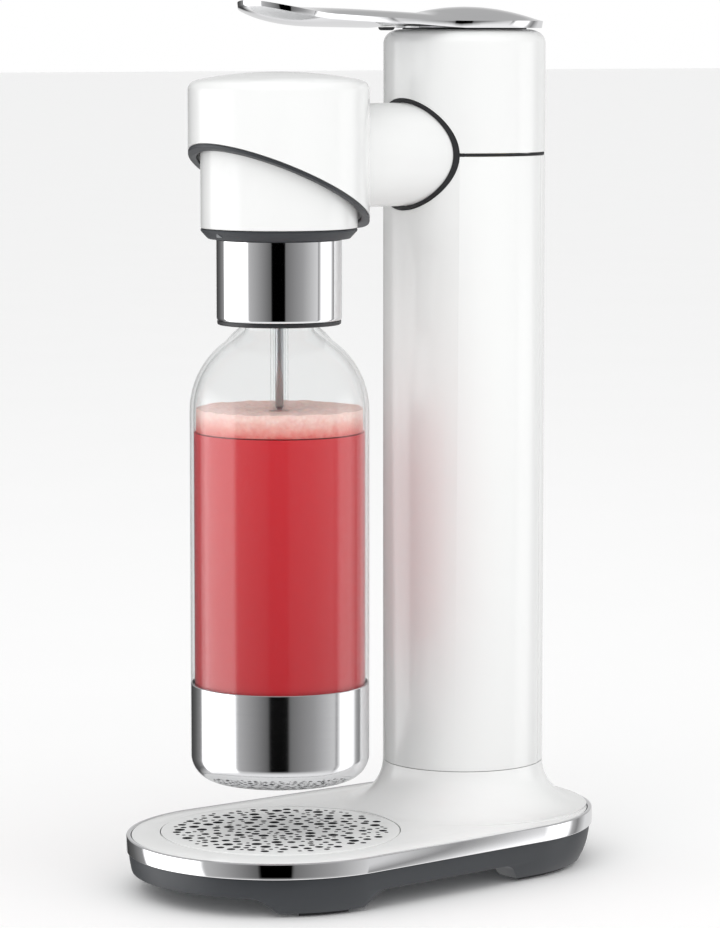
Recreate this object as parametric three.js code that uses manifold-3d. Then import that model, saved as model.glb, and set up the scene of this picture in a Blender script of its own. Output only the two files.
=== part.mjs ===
// Manual soda carbonator: a stand with a gas cylinder in its column, a press lever on top, a head that
// holds the carbonating cap, and a bottle that hangs from the cap over a drip tray.
// Millimetres, +Z up, the bottle side faces -Y. Origin: middle of the footprint, on the ground.

import * as THREE from 'three';
import { mergeVertices } from 'three/addons/utils/BufferGeometryUtils.js';
import Module from 'manifold-3d';

const wasm = await Module();
wasm.setup();

// ---------------------------------------------------------------- driving dimensions

const gap = 0.3;              // clearance between pieces that touch
const roundSides = 24;        // sides of a large round piece
const smallSides = 10;        // sides of pins, pipes and screws

const reach = 113.2;          // column axis to bottle axis
const frontOverhang = 73.1;   // bottle axis to the front of the base
const rearOverhang = 61.5;    // column axis to the back of the base

const base = {
  frontRadius: 71.6, rearRadius: 69.4,
  archHeight: 9.2,            // underside of the tray above the ground, between the feet
  floor: 2, wall: 3,
  underbaseTop: 18.5,
  bandHeight: 7.5, bandWall: 2.2,
  plate: 3.7, crown: 1,
  footInset: 6.5,             // how far the feet lean in at the ground
  padHeight: 1.5, padInset: 2,
};
const flare = { height: 21.3, spread: 22 };
const column = { wall: 2.6, room: 6.4, height: 295.7, upperHeight: 59.2, coverHalfAngle: 60 };
const shoulder = { inset: 8.8, drop: 7.2 };
const seamHeight = 1.6;       // dark joint line between the lower and the upper column
const neck = { halfWidth: 26, halfHeight: 24.5, wall: 2.6, gasket: 1.6, endRoom: 3 };
const head = { radius: 42.2, wall: 2.5, shoulderRise: 30.8, domeRise: 8.8, sweepMid: -12.5, sweepFall: 0.4684 };
const trim = { height: 1.6, width: 3.9 };
const sleeve = { clearance: 3.2, wall: 2.5, show: 0.33, topRise: 13, opening: 13 };
const tilt = { forward: 8, rise: 7, pinRadius: 2.5 };   // pivot in front of the bottle axis, above the neck axis
const cap = { ringHeight: 4.6, ringTaper: 3, collarRadius: 29.3, collarWall: 0.8, collarHeight: 37.5,
  lipHeight: 1.9, coreRadius: 31.5, coreRise: 26.7 };
const tube = { radius: 4.2, wall: 1.2, rodRadius: 2, dip: 1.5 };
const loop = { radius: 12.2, wall: 2.6, width: 5.3, standOff: 13.5, drop: 13.8, pivotInset: 3.7, hubRadius: 1.8 };
const bottle = { radius: 42, wall: 0.8, neckRadius: 17.9, neckWall: 1.9, neckInCap: 27.4, bottomGap: 25,
  cupHeight: 46, cupWall: 0.6, shoulderHeight: 40.5, shoulderArc: 40, drinkBelowLip: 39, froth: 11 };
const drip = { radius: 56.5, grille: 2, bowlWall: 1.6, flange: 3, flangeHeight: 0.8, holes: 30, holeField: 49 };
const gas = { radius: 30, footHeight: 14, neckRadius: 12, shoulderHeight: 38, valveRadius: 11, valveLength: 23.7 };
const block = { radius: 25, height: 43, seal: 2.2, plungerRadius: 2.9 };
const spring = { radius: 5.6, wire: 1.1, turns: 5 };
const lever = { radius: 37.7, dome: 7.3, edge: 3, band: 2.2, tipBeyondBottle: 18.3, tipRadius: 22.5, waist: 19.5,
  rootInDisc: 14.3, slope: 4.9, curl: 4.7, curlFrom: 0.66, crown: 3.9, belly: 1.2, bellyGrowth: 3.6,
  bellyFrom: 20, bellyFull: 2, rootWidth: 0.72, waistAt: 0.45, underWidth: 0.93, rimClearance: 4.6,
  pivotBehind: 20, pinRadius: 2, barrelRadius: 4 };
const valvePinRadius = 1.6;
const valvePinRise = 1.5;
const hub = { wall: 2.2, depth: 16, floor: 2, proud: 0.7 };
const screw = { headRadius: 3.2, headHeight: 1.6, shankRadius: 1.6, bossRadius: 4.5,
  frontX: 43.5, frontAhead: 43.5,           // base screws, measured from the bottle's axis
  rearX: 43, rearBehind: 33.6,              // and from the column's axis
  valveX: 17.5 };
const feet = {
  frontSpan: 49, frontSpanLow: 54,          // half the opening between the feet, at its top and at the ground
  sideFront: -46, sideFrontLow: -58, sideRear: 36, sideRearLow: 43.6,
};
const actuator = { plateRadius: 22, plateRise: 6, plateHeight: 2, bossRadius: 4, bossRise: 1.9, barrelHalf: 12.4 };
const plunger = { flangeReach: 4.6, flangeHeight: 1.4, flangeDrop: 4 };
const cheek = { inner: 13, outer: 16.5 };   // the two ears of the bracket that hold the hinge pin
const pipe = { rise: 17, radius: 2 };
const port = { radius: 9, headRadius: 14, headHeight: 2, bore: 1.5, rise: 9.3 };
const framePlate = { drop: 4.8, height: 2 };
const capValve = { place: 24, radius: 1.8 };
const capCeiling = 4;                       // from the bottle's mouth to the roof of the cap's throat
const loopPin = { radius: 0.8, half: 6.5 };
const plug = { radius: 4, behindColumn: 9.6, height: 1.5 };

// ---------------------------------------------------------------- places worked out from them

const length = frontOverhang + reach + rearOverhang;
const columnY = length / 2 - rearOverhang;
const bottleY = columnY - reach;
const frontCentreY = -length / 2 + base.frontRadius;
const rearCentreY = length / 2 - base.rearRadius;

const bandTop = base.underbaseTop + base.bandHeight;
const plateTop = bandTop + base.crown;
const flareTop = plateTop + flare.height;
const neckZ = flareTop + column.height;
const columnTop = neckZ + column.upperHeight;
const columnRadius = gas.radius + column.room + column.wall;
const columnBore = columnRadius - column.wall;
const shoulderTopRadius = columnRadius - shoulder.inset;

const headShoulder = neckZ + head.shoulderRise;
const headTop = headShoulder + head.domeRise;
const headBore = head.radius - head.wall;
const sweepZ = neckZ + head.sweepMid;
const sleeveRadius = headBore - sleeve.clearance;
const sleeveBore = sleeveRadius - sleeve.wall;
const sleeveBottom = sweepZ - head.sweepFall * head.radius - sleeve.show;
const sleeveTop = neckZ + sleeve.topRise;
const pivotY = bottleY - tilt.forward;
const pivotZ = neckZ + tilt.rise;

const ringTop = sleeveBottom - gap;
const ringBottom = ringTop - cap.ringHeight;
const collarTop = ringBottom - gap;
const collarBottom = collarTop - cap.collarHeight;
const lipTop = collarBottom - gap;
const lipBottom = lipTop - cap.lipHeight;
const coreWaist = cap.collarRadius - cap.collarWall - gap;
const coreTop = ringTop + cap.coreRise;
const mouthZ = lipBottom + bottle.neckInCap;
const threadBore = bottle.neckRadius + 4 * gap;
const frothTop = lipBottom - bottle.drinkBelowLip;
const tubeEnd = frothTop - tube.dip;
const bottleBottom = plateTop + bottle.bottomGap;
const cupTop = bottleBottom + bottle.cupHeight;
const loopPivot = { y: bottleY + sleeveRadius - loop.pivotInset, z: ringTop - cap.ringHeight / 2 + gap / 2 };
const loopCentre = { y: bottleY + sleeveRadius + loop.standOff, z: ringTop - loop.drop };

const cylinderTop = neckZ - 15;
const valveTop = cylinderTop + gap + gas.valveLength;
const plateMountZ = neckZ - 7;
const blockBottom = neckZ - 3;
const blockTop = blockBottom + block.height;
const leverPin = { y: columnY + lever.pivotBehind, z: columnTop - 5.2 };
const leverEdgeTop = columnTop + 3.5;
const tipY = bottleY - lever.tipBeyondBottle;
const armStart = columnY - lever.radius + lever.rootInDisc;
const plugY = columnY - columnRadius - plug.behindColumn;
const pipeZ = neckZ + pipe.rise;
const framePlateZ = headShoulder - framePlate.drop;
const pinEnd = Math.sqrt(headBore ** 2 - tilt.forward ** 2) + 0.6;
const actuatorLow = leverPin.z + actuator.plateRise;
const bossLow = leverPin.z + actuator.bossRise;
const plungerTop = bossLow - gap;
const flangeZ = plungerTop - plunger.flangeDrop;
const gasketOuter = neck.gasket + gap;
const drinkRadius = bottle.radius - bottle.cupWall - bottle.wall - 2 * gap;
const screwPlaces = [
  ...[-1, 1].map(side => [side * screw.frontX, bottleY - screw.frontAhead]),
  ...[-1, 1].map(side => [side * screw.rearX, columnY + screw.rearBehind]),
];
const valveScrewX = [-screw.valveX, screw.valveX];

// ---------------------------------------------------------------- making solids

/** A closed three.js geometry as a manifold solid, turned the right way out. */
function solid(geometry) {
  const bare = geometry.index ? geometry.toNonIndexed() : geometry.clone();
  for (const name of Object.keys(bare.attributes)) if (name !== 'position') bare.deleteAttribute(name);
  const merged = mergeVertices(bare, 1e-4);
  const at = merged.attributes.position;
  const corner = i => new THREE.Vector3().fromBufferAttribute(at, i);
  const triangles = [];
  let volume = 0;
  for (let i = 0; i < merged.index.count; i += 3) {
    const [a, b, c] = [0, 1, 2].map(k => merged.index.getX(i + k));
    if (a === b || b === c || c === a) continue;
    triangles.push([a, b, c]);
    volume += corner(a).dot(corner(b).cross(corner(c)));
  }
  if (volume < 0) for (const triangle of triangles) triangle.reverse();
  return new wasm.Manifold(new wasm.Mesh({
    numProp: 3,
    vertProperties: new Float32Array(at.array),
    triVerts: new Uint32Array(triangles.flat()),
  }));
}

/** A manifold solid as a three.js geometry. */
function geometryOf(manifold) {
  const { vertProperties, triVerts } = manifold.getMesh();
  const geometry = new THREE.BufferGeometry();
  geometry.setAttribute('position', new THREE.BufferAttribute(new Float32Array(vertProperties), 3));
  geometry.setIndex(new THREE.BufferAttribute(new Uint32Array(triVerts), 1));
  geometry.computeVertexNormals();
  return geometry;
}

/** A solid of revolution about a vertical axis at (0, y). The profile lists [radius, z]. */
function turned(profile, y, sides = roundSides) {
  const closes = profile[0][0] > 0 || profile.at(-1)[0] > 0;
  const outline = closes ? [...profile, profile[0]] : profile;
  const geometry = new THREE.LatheGeometry(outline.map(([r, z]) => new THREE.Vector2(r, z)), sides);
  return solid(geometry.rotateX(Math.PI / 2).translate(0, y, 0));
}

/** A plain ring or disc about a vertical axis at (0, y). */
function ring(outer, inner, bottom, top, y, sides = roundSides) {
  const profile = [[outer, bottom], [outer, top], [inner, top], [inner, bottom]];
  return turned(inner > 0 ? profile : [[0, bottom], [outer, bottom], [outer, top], [0, top]], y, sides);
}

/** A flat outline in X and Y, pulled up from bottom to top. */
function prism(shape, bottom, top, curveSegments = 12) {
  const geometry = new THREE.ExtrudeGeometry(shape, { depth: top - bottom, bevelEnabled: false, curveSegments });
  return solid(geometry.translate(0, 0, bottom));
}

/** An outline in Y and Z, extruded along X from -half to +half. */
function plateAcross(shape, half, curveSegments = 12) {
  const geometry = new THREE.ExtrudeGeometry(shape, { depth: 2 * half, bevelEnabled: false, curveSegments });
  geometry.translate(0, 0, -half);
  return solid(geometry.applyMatrix4(new THREE.Matrix4().set(0, 0, 1, 0, 1, 0, 0, 0, 0, 1, 0, 0, 0, 0, 0, 1)));
}

function box(x0, x1, y0, y1, z0, z1) {
  const geometry = new THREE.BoxGeometry(x1 - x0, y1 - y0, z1 - z0);
  return solid(geometry.translate((x0 + x1) / 2, (y0 + y1) / 2, (z0 + z1) / 2));
}

/** A round bar along X. */
function barAlongX(radius, x0, x1, y, z, sides = smallSides) {
  const geometry = new THREE.CylinderGeometry(radius, radius, x1 - x0, sides);
  return solid(geometry.rotateZ(Math.PI / 2).translate((x0 + x1) / 2, y, z));
}

/** A round bar along Z at (x, y). */
function barUp(radius, x, y, z0, z1, sides = smallSides) {
  const geometry = new THREE.CylinderGeometry(radius, radius, z1 - z0, sides);
  return solid(geometry.rotateX(Math.PI / 2).translate(x, y, (z0 + z1) / 2));
}

/** An oval bar along Y, centred on the neck axis. */
function ovalAlongY(halfWidth, halfHeight, y0, y1) {
  const geometry = new THREE.CylinderGeometry(1, 1, y1 - y0, roundSides);
  return solid(geometry.scale(halfWidth, 1, halfHeight).translate(0, (y0 + y1) / 2, neckZ));
}

/** A tube of round section that follows a curve. */
function along(curve, radius, steps, sides) {
  const section = new THREE.Shape();
  for (let i = 0; i < sides; i++) {
    const turn = i / sides * 2 * Math.PI;
    section[i ? 'lineTo' : 'moveTo'](radius * Math.cos(turn), radius * Math.sin(turn));
  }
  return solid(new THREE.ExtrudeGeometry(section, { steps, extrudePath: curve, bevelEnabled: false }));
}

/** A solid skinned over closed rings of points, all with the same count, and capped at both ends. */
function skinned(rings) {
  const count = rings[0].length;
  const position = rings.flat().flatMap(p => [p.x, p.y, p.z]);
  const index = [];
  for (let r = 0; r + 1 < rings.length; r++) {
    for (let i = 0; i < count; i++) {
      const [a, b] = [r * count + i, r * count + (i + 1) % count];
      index.push(a, b, b + count, a, b + count, a + count);
    }
  }
  for (const [r, order] of [[0, -1], [rings.length - 1, 1]]) {
    const middle = position.length / 3;
    const centre = rings[r].reduce((sum, p) => sum.add(p), new THREE.Vector3()).divideScalar(count);
    position.push(centre.x, centre.y, centre.z);
    for (let i = 0; i < count; i++) {
      const [a, b] = [r * count + i, r * count + (i + 1) % count];
      index.push(...(order > 0 ? [a, b, middle] : [b, a, middle]));
    }
  }
  const geometry = new THREE.BufferGeometry();
  geometry.setAttribute('position', new THREE.Float32BufferAttribute(position, 3));
  geometry.setIndex(index);
  return solid(geometry);
}

const join = (...solids) => solids.reduce((sum, next) => sum.add(next));
const cut = (body, ...tools) => tools.reduce((left, tool) => left.subtract(tool), body);

// ---------------------------------------------------------------- shared outlines

/** The base outline: two round ends joined by straight sides, moved in by an inset. */
function baseOutline(inset) {
  const front = base.frontRadius - inset;
  const rear = base.rearRadius - inset;
  const lean = Math.asin((front - rear) / (rearCentreY - frontCentreY));
  const shape = new THREE.Shape();
  shape.absarc(0, frontCentreY, front, Math.PI - lean, 2 * Math.PI + lean, false);
  shape.absarc(0, rearCentreY, rear, lean, Math.PI - lean, false);
  return shape;
}

/** A stack of base outlines, one for each [inset, z]. */
function baseStack(levels) {
  return skinned(levels.map(([inset, z]) => {
    const points = baseOutline(inset).extractPoints(10).shape;
    if (points[0].distanceTo(points.at(-1)) < 1e-6) points.pop();
    return points.map(p => new THREE.Vector3(p.x, p.y, z));
  }));
}

/** Everything below the swept lower edge of the head, moved down by a drop. */
function belowSweep(drop) {
  const size = 4 * head.radius;
  const geometry = new THREE.BoxGeometry(size, size, size).translate(0, 0, -size / 2);
  geometry.rotateX(-Math.atan(head.sweepFall));
  return solid(geometry.translate(0, bottleY, sweepZ - drop));
}

/** An arc-shaped section of the column wall, between two angles in degrees from the front. */
function columnWedge(fromAngle, toAngle, outer, inner) {
  const start = THREE.MathUtils.degToRad(fromAngle - 90);
  const end = THREE.MathUtils.degToRad(toAngle - 90);
  const shape = new THREE.Shape();
  shape.absarc(0, columnY, outer, start, end, false);
  shape.absarc(0, columnY, inner, end, start, true);
  return shape;
}

// ---------------------------------------------------------------- base

/** The dark tray under the stand, with arches between its four feet. */
function makeUnderbase() {
  const top = base.underbaseTop - gap;
  const low = base.padHeight + gap;
  const outer = baseStack([[base.footInset, low], [base.footInset * 0.55, base.archHeight], [1, top]]);
  const inside = baseStack([[base.wall + 1, base.archHeight + base.floor], [base.wall + 1, top + 1]]);
  const arch = (span, spanLow) => {
    const shape = new THREE.Shape();
    shape.moveTo(span[0], base.archHeight);
    shape.lineTo(spanLow[0], -1);
    shape.lineTo(spanLow[1], -1);
    shape.lineTo(span[1], base.archHeight);
    return shape;
  };
  const sideArch = plateAcross(arch([feet.sideFront, feet.sideRear], [feet.sideFrontLow, feet.sideRearLow]), 90);
  const endArch = new THREE.ExtrudeGeometry(
    arch([-feet.frontSpan, feet.frontSpan], [-feet.frontSpanLow, feet.frontSpanLow]),
    { depth: 2 * length, bevelEnabled: false });
  const endCut = solid(endArch.rotateX(Math.PI / 2).translate(0, length, 0));
  const holes = screwPlaces.map(([x, y]) =>
    barUp(screw.shankRadius + gap, x, y, 0, base.archHeight + base.floor + 1));
  return cut(outer, inside, sideArch, endCut, ...holes);
}

function makeFootPad(side, end) {
  const outline = prism(baseOutline(base.footInset + base.padInset), 0, base.padHeight);
  const x = [feet.frontSpanLow + 1, base.frontRadius].map(v => side * v).sort((a, b) => a - b);
  const y = end === 'front' ? [-length, feet.sideFrontLow - 2] : [feet.sideRearLow + 2, length];
  return outline.intersect(box(x[0], x[1], y[0], y[1], 0, base.padHeight));
}

function makeBand() {
  const [low, high] = [base.underbaseTop, bandTop];
  const outer = baseStack([[0.4, low], [0, low + 1], [0, high - 1], [0.6, high]]);
  return cut(outer, prism(baseOutline(base.bandWall), low - 1, high + 1, 10));
}

/** The white top of the stand: a crowned plate that flares up into the foot of the column. */
function makeBaseTop() {
  const inset = base.bandWall + gap;
  const low = bandTop - base.plate;
  const plate = baseStack([[inset, low], [inset, bandTop], [inset + 10, bandTop + base.crown * 0.7],
    [inset + 30, plateTop]]);
  const profile = [[0, low + 1], [columnRadius + flare.spread, low + 1]];
  for (let step = 0; step <= 5; step++) {
    const turn = step / 5 * Math.PI / 2;
    profile.push([columnRadius + flare.spread * (1 - Math.sin(turn)),
      plateTop + flare.height * (1 - Math.cos(turn))]);
  }
  profile.push([0, flareTop]);
  const foot = turned(profile, columnY).intersect(prism(baseOutline(inset), low, flareTop + 1, 10));
  const bosses = screwPlaces.map(([x, y]) =>
    barUp(screw.bossRadius, x, y, base.archHeight + base.floor + gap, low + 1));
  const holes = screwPlaces.map(([x, y]) =>
    barUp(screw.shankRadius + gap, x, y, 0, bandTop - 1.5));
  return cut(join(plate, foot, ...bosses), ...holes,
    ring(columnBore, 0, 0, flareTop + 1, columnY),
    ring(drip.radius + gap + 0.2, 0, bandTop - drip.grille, flareTop, bottleY),
    ring(drip.radius - drip.flange, 0, 0, flareTop, bottleY));
}

function makeBaseScrew([x, y]) {
  const under = base.archHeight - gap;
  return join(barUp(screw.headRadius, x, y, under - screw.headHeight, under),
    barUp(screw.shankRadius, x, y, under - 0.5, bandTop - base.plate));
}

function makeDripBowl() {
  const flangeTop = bandTop - drip.grille + drip.flangeHeight + gap;
  const outer = drip.radius - drip.flange - gap;
  const low = base.archHeight + base.floor + gap;
  return turned([[0, low], [outer - 3, low], [outer, low + 3], [outer, flangeTop - drip.flangeHeight],
    [drip.radius, flangeTop - drip.flangeHeight], [drip.radius, flangeTop],
    [outer - drip.bowlWall, flangeTop], [outer - drip.bowlWall, low + 3.6],
    [outer - 3.6, low + drip.bowlWall], [0, low + drip.bowlWall]], bottleY);
}

/** The perforated disc, with round drain holes of mixed sizes spread evenly over it. */
function makeDripGrille() {
  const low = bandTop - drip.grille + drip.flangeHeight + 2 * gap;
  const disc = ring(drip.radius, 0, low, plateTop, bottleY);
  const goldenTurn = Math.PI * (3 - Math.sqrt(5));
  const holes = Array.from({ length: drip.holes }, (_, i) => {
    const distance = drip.holeField * Math.sqrt((i + 0.5) / drip.holes);
    const turn = i * goldenTurn;
    const radius = [2.4, 1.4, 1.9][i % 3];
    return barUp(radius, distance * Math.cos(turn), bottleY + distance * Math.sin(turn), low - 1, plateTop + 1, 6);
  });
  return cut(disc, ...holes);
}

// ---------------------------------------------------------------- column

const neckHole = extra => ovalAlongY(neck.halfWidth + extra, neck.halfHeight + extra, bottleY, columnY);

function makeColumnShell() {
  const opening = column.coverHalfAngle;
  const shape = columnWedge(opening - 180, 180 - opening, columnRadius, columnBore);
  const wall = prism(shape, flareTop + gap, neckZ - seamHeight / 2, 18);
  return cut(wall, neckHole(gasketOuter + gap));
}

function makeRearCover() {
  const half = column.coverHalfAngle - THREE.MathUtils.radToDeg(gap / columnRadius);
  const shape = columnWedge(180 - half, 180 + half, columnRadius, columnBore);
  return prism(shape, flareTop + gap, neckZ - seamHeight / 2, 9);
}

function makeUpperColumn() {
  const [r, t] = [columnRadius, column.wall];
  const low = neckZ + seamHeight / 2;
  const deck = shoulderTopRadius;
  const profile = [[r, low], [r, columnTop - shoulder.drop], [r - 0.7, columnTop - 5],
    [r - 2.2, columnTop - 3.2], [r - 4.1, columnTop - 1.7], [deck, columnTop],
    [deck, columnTop - t], [r - 5.6, columnTop - t - 2], [r - t, columnTop - shoulder.drop - 1], [r - t, low]];
  return cut(turned(profile, columnY), neckHole(gasketOuter + gap));
}

function makeSeamGasket() {
  const half = seamHeight / 2 - gap;
  const band = ring(columnRadius - 0.4, columnBore + 0.2, neckZ - half, neckZ + half, columnY);
  return cut(band, neckHole(gasketOuter + gap));
}

/** The dark saddle-shaped ring where the neck enters the column. */
function makeNeckGasket() {
  const wall = ring(columnRadius + 0.4, columnBore + 0.2, 0, columnTop + 10, columnY);
  return cut(wall.intersect(neckHole(gasketOuter)), neckHole(gap));
}

/** The inner channel that stiffens the column and guides the gas cylinder. */
function makeChassis() {
  const outer = columnBore - gap - 0.2;
  const low = base.archHeight + base.floor + gap;
  const channel = prism(columnWedge(-70, 70, outer - 0.4, outer - 2), low, neckZ - neck.halfHeight - 3, 10);
  const flange = prism(columnWedge(-62, 62, outer, outer - 2.3), low, low + 4, 8);
  return join(channel, flange);
}

/** The cup that the foot of the gas cylinder stands in. */
function makeCylinderSeat() {
  const low = base.archHeight + base.floor + gap;
  const outer = columnBore - 3;
  return turned([[0, low], [outer, low], [outer, low + 10], [gas.radius + 0.8, low + 10],
    [gas.radius + 0.8, gas.footHeight - gap], [0, gas.footHeight - gap]], columnY);
}

function makeGasCylinder() {
  const [r, low] = [gas.radius, gas.footHeight];
  const profile = [[0, low + 3], [r - 9, low + 3], [r - 7, low], [r - 2, low], [r, low + 3]];
  const start = cylinderTop - 8 - gas.shoulderHeight;
  for (let step = 0; step <= 4; step++) {
    const turn = step / 4 * Math.PI / 2;
    profile.push([gas.neckRadius + (r - gas.neckRadius) * Math.cos(turn), start + gas.shoulderHeight * Math.sin(turn)]);
  }
  profile.push([gas.neckRadius, cylinderTop], [0, cylinderTop]);
  return turned(profile, columnY);
}

function makeCylinderValve() {
  const low = cylinderTop + gap;
  const bore = 2.3;
  return turned([[0, low], [gas.neckRadius, low], [gas.neckRadius, low + 6], [gas.valveRadius - 2, low + 7],
    [gas.valveRadius - 2, low + 10], [gas.valveRadius, low + 11], [gas.valveRadius, valveTop],
    [bore, valveTop], [bore, valveTop - 14], [0, valveTop - 14]], columnY, 16);
}

const makeValvePin = () =>
  ring(valvePinRadius, 0, valveTop - 12, valveTop + valvePinRise, columnY, smallSides);

function makeMountPlate() {
  const outer = columnBore - neck.endRoom - 0.9;
  const holes = valveScrewX.map(x => barUp(screw.shankRadius + gap, x, columnY, 0, columnTop));
  return cut(ring(outer, gas.neckRadius + 0.6, plateMountZ, blockBottom - gap, columnY), ...holes);
}

/** The pressure block: a socket for the cylinder valve below, a guide for the plunger above. */
function makeValveBlock() {
  const socket = gas.valveRadius + 0.4;
  const chamber = 5;
  const sealTop = valveTop + 2 * gap + block.seal;
  const bore = block.plungerRadius + gap;
  const body = turned([[socket, blockBottom], [block.radius, blockBottom], [block.radius, blockTop - 2],
    [block.radius - 2, blockTop], [bore, blockTop], [bore, sealTop + 10], [chamber, sealTop + 8],
    [chamber, sealTop], [socket, sealTop]], columnY);
  const outlet = along(new THREE.LineCurve3(new THREE.Vector3(0, columnY - block.radius - 1, pipeZ),
    new THREE.Vector3(0, columnY - chamber + 1, pipeZ)), pipe.radius + gap, 1, 10);
  const holes = valveScrewX.map(x =>
    barUp(screw.shankRadius + gap, x, columnY, blockBottom - 1, blockBottom + 10));
  return cut(body, outlet, ...holes);
}

const makeCylinderSeal = () =>
  ring(gas.valveRadius - 0.2, 4, valveTop + gap, valveTop + gap + block.seal, columnY, 16);

function makeValveScrew(x) {
  const under = plateMountZ - gap;
  return join(barUp(screw.headRadius, x, columnY, under - screw.headHeight, under),
    barUp(screw.shankRadius, x, columnY, under - 0.5, blockBottom + 8));
}

// ---------------------------------------------------------------- lever and plunger

function makePlunger() {
  const r = block.plungerRadius;
  const wide = r + plunger.flangeReach;
  const low = valveTop + valvePinRise + gap;
  return turned([[0, low], [r, low], [r, flangeZ], [wide, flangeZ], [wide, flangeZ + plunger.flangeHeight],
    [r, flangeZ + plunger.flangeHeight], [r, plungerTop], [0, plungerTop]], columnY, 12);
}

function makeReturnSpring() {
  const low = blockTop + gap + spring.wire;
  const high = flangeZ - gap - spring.wire;
  class Helix extends THREE.Curve {
    getPoint(t, target = new THREE.Vector3()) {
      const turn = t * spring.turns * 2 * Math.PI;
      return target.set(spring.radius * Math.cos(turn), columnY + spring.radius * Math.sin(turn),
        low + (high - low) * t);
    }
  }
  return along(new Helix(), spring.wire / 2, spring.turns * 9, 6);
}

/** The dark cup in the top of the column that carries the lever's hinge pin. */
function makeLeverBracket() {
  const outer = shoulderTopRadius - gap;
  const top = columnTop + hub.proud;
  const low = top - hub.depth;
  const cup = turned([[9, low], [outer, low], [outer, top], [outer - hub.wall, top],
    [outer - hub.wall, low + hub.floor], [9, low + hub.floor]], columnY);
  const cheeks = [-1, 1].map(side => {
    const x = [side * cheek.inner, side * cheek.outer].sort((a, b) => a - b);
    return box(x[0], x[1], leverPin.y - 5, leverPin.y + 4, low + 1, leverPin.z + 3.6);
  });
  return cut(join(cup, ...cheeks),
    barAlongX(lever.pinRadius + gap, -cheek.outer - 1, cheek.outer + 1, leverPin.y, leverPin.z));
}

const makeLeverPin = () =>
  barAlongX(lever.pinRadius, -cheek.outer - 1, cheek.outer + 1, leverPin.y, leverPin.z);

/** The cast carrier under the lever: hinge barrel at the back, plate above, and the boss that pushes the plunger. */
function makeActuator() {
  const half = actuator.barrelHalf;
  const plate = ring(actuator.plateRadius, 0, actuatorLow, actuatorLow + actuator.plateHeight, columnY, 16);
  const boss = ring(actuator.bossRadius, 0, bossLow, actuatorLow + 1, columnY, smallSides);
  const barrel = barAlongX(lever.barrelRadius, -half, half, leverPin.y, leverPin.z, 12);
  const web = box(-half, half, leverPin.y - 9, leverPin.y - 1.5, leverPin.z + 1, actuatorLow + 1.5);
  const whole = join(plate, boss, barrel, web);
  return cut(whole, barAlongX(lever.pinRadius + gap, -half - 1, half + 1, leverPin.y, leverPin.z));
}

/** How far along the lever's arm a place is: 0 at its root under the disc, 1 at the tip. */
const alongArm = y => Math.min(1, Math.max(0, (armStart - y) / (armStart - tipY)));

/** The height of the arm's top edge: a slow rise, with a curl up at the tip. */
function armEdgeTop(y) {
  const t = alongArm(y);
  return leverEdgeTop + lever.slope * t + lever.curl * Math.max(0, (t - lever.curlFrom) / (1 - lever.curlFrom)) ** 2;
}

/** How far the arm's rounded underside hangs below its edge band. */
function armBelly(y) {
  const t = alongArm(y);
  const ramp = Math.min(1, Math.max(0, (lever.bellyFrom - y) / (lever.bellyFrom - lever.bellyFull)));
  return (lever.belly + lever.bellyGrowth * t) * ramp * Math.sqrt(1 - t ** 8);
}

/** Half the arm's width: wide at the disc, narrow at the waist, and a round tip. */
function armHalfWidth(y) {
  const tipCentre = tipY + lever.tipRadius;
  if (y <= tipCentre) return Math.sqrt(lever.tipRadius ** 2 - (tipCentre - y) ** 2);
  const t = (armStart - y) / (armStart - tipCentre);
  const rootHalf = lever.rootWidth * lever.radius;
  const rootPart = Math.max(0, 1 - t / lever.waistAt) ** 2;
  const tipPart = Math.max(0, (t - lever.waistAt) / (1 - lever.waistAt)) ** 1.5;
  return lever.waist + (rootHalf - lever.waist) * rootPart + (lever.tipRadius - lever.waist) * tipPart;
}

/** One cross-section of the lever's arm: a lens with square edges, crowned above and bellied below. */
function armSection(y) {
  const points = [];
  const steps = 4;
  const half = armHalfWidth(y);
  const top = armEdgeTop(y);
  const crown = lever.crown * (1 - alongArm(y) ** 4);
  for (let i = 0; i <= steps; i++) {
    const across = 1 - 2 * i / steps;
    points.push(new THREE.Vector3(half * across, y, top + crown * (1 - across * across)));
  }
  for (let i = 0; i <= steps; i++) {
    const across = -1 + 2 * i / steps;
    points.push(new THREE.Vector3(lever.underWidth * half * across, y, top - lever.band - armBelly(y) * (1 - across * across)));
  }
  return points;
}

function makeLever() {
  const { radius: r } = lever;
  const top = leverEdgeTop;
  const dome = [[0, top + lever.dome]];
  for (let step = 1; step <= 4; step++) {
    const out = step / 4;
    dome.push([(r - 0.4) * out, top + lever.dome * (1 - out * out)]);
  }
  const disc = turned([...dome, [r, top - 0.5], [r - 0.2, top - lever.edge], [r - 1.4, top - lever.edge],
    [r - 2.4, top - 1.2], [shoulderTopRadius, top - 0.1], [12, top + 1.6], [0, top + 2]], columnY);
  const tipCentre = tipY + lever.tipRadius;
  const levels = [];
  for (let step = 0; step <= 7; step++) levels.push(armStart + (tipCentre - armStart) * step / 7);
  for (const turn of [25, 45, 62, 76, 88]) levels.push(tipCentre - lever.tipRadius * Math.sin(turn * Math.PI / 180));
  const arm = skinned(levels.map(armSection));
  const clearance = ring(shoulderTopRadius + lever.rimClearance, 0, top - lever.edge - 3, top - 0.1, columnY);
  return join(disc, cut(arm, clearance));
}

/** The rubber plug that closes the screw hole under the lever's arm. */
function makeLeverPlug() {
  const top = armEdgeTop(plugY) - lever.band - armBelly(plugY - plug.radius) - gap;
  const low = top - plug.height;
  return turned([[0, low], [0.7 * plug.radius, low], [plug.radius, (low + top) / 2], [plug.radius, top],
    [0, top]], plugY, 16);
}

// ---------------------------------------------------------------- head

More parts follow.
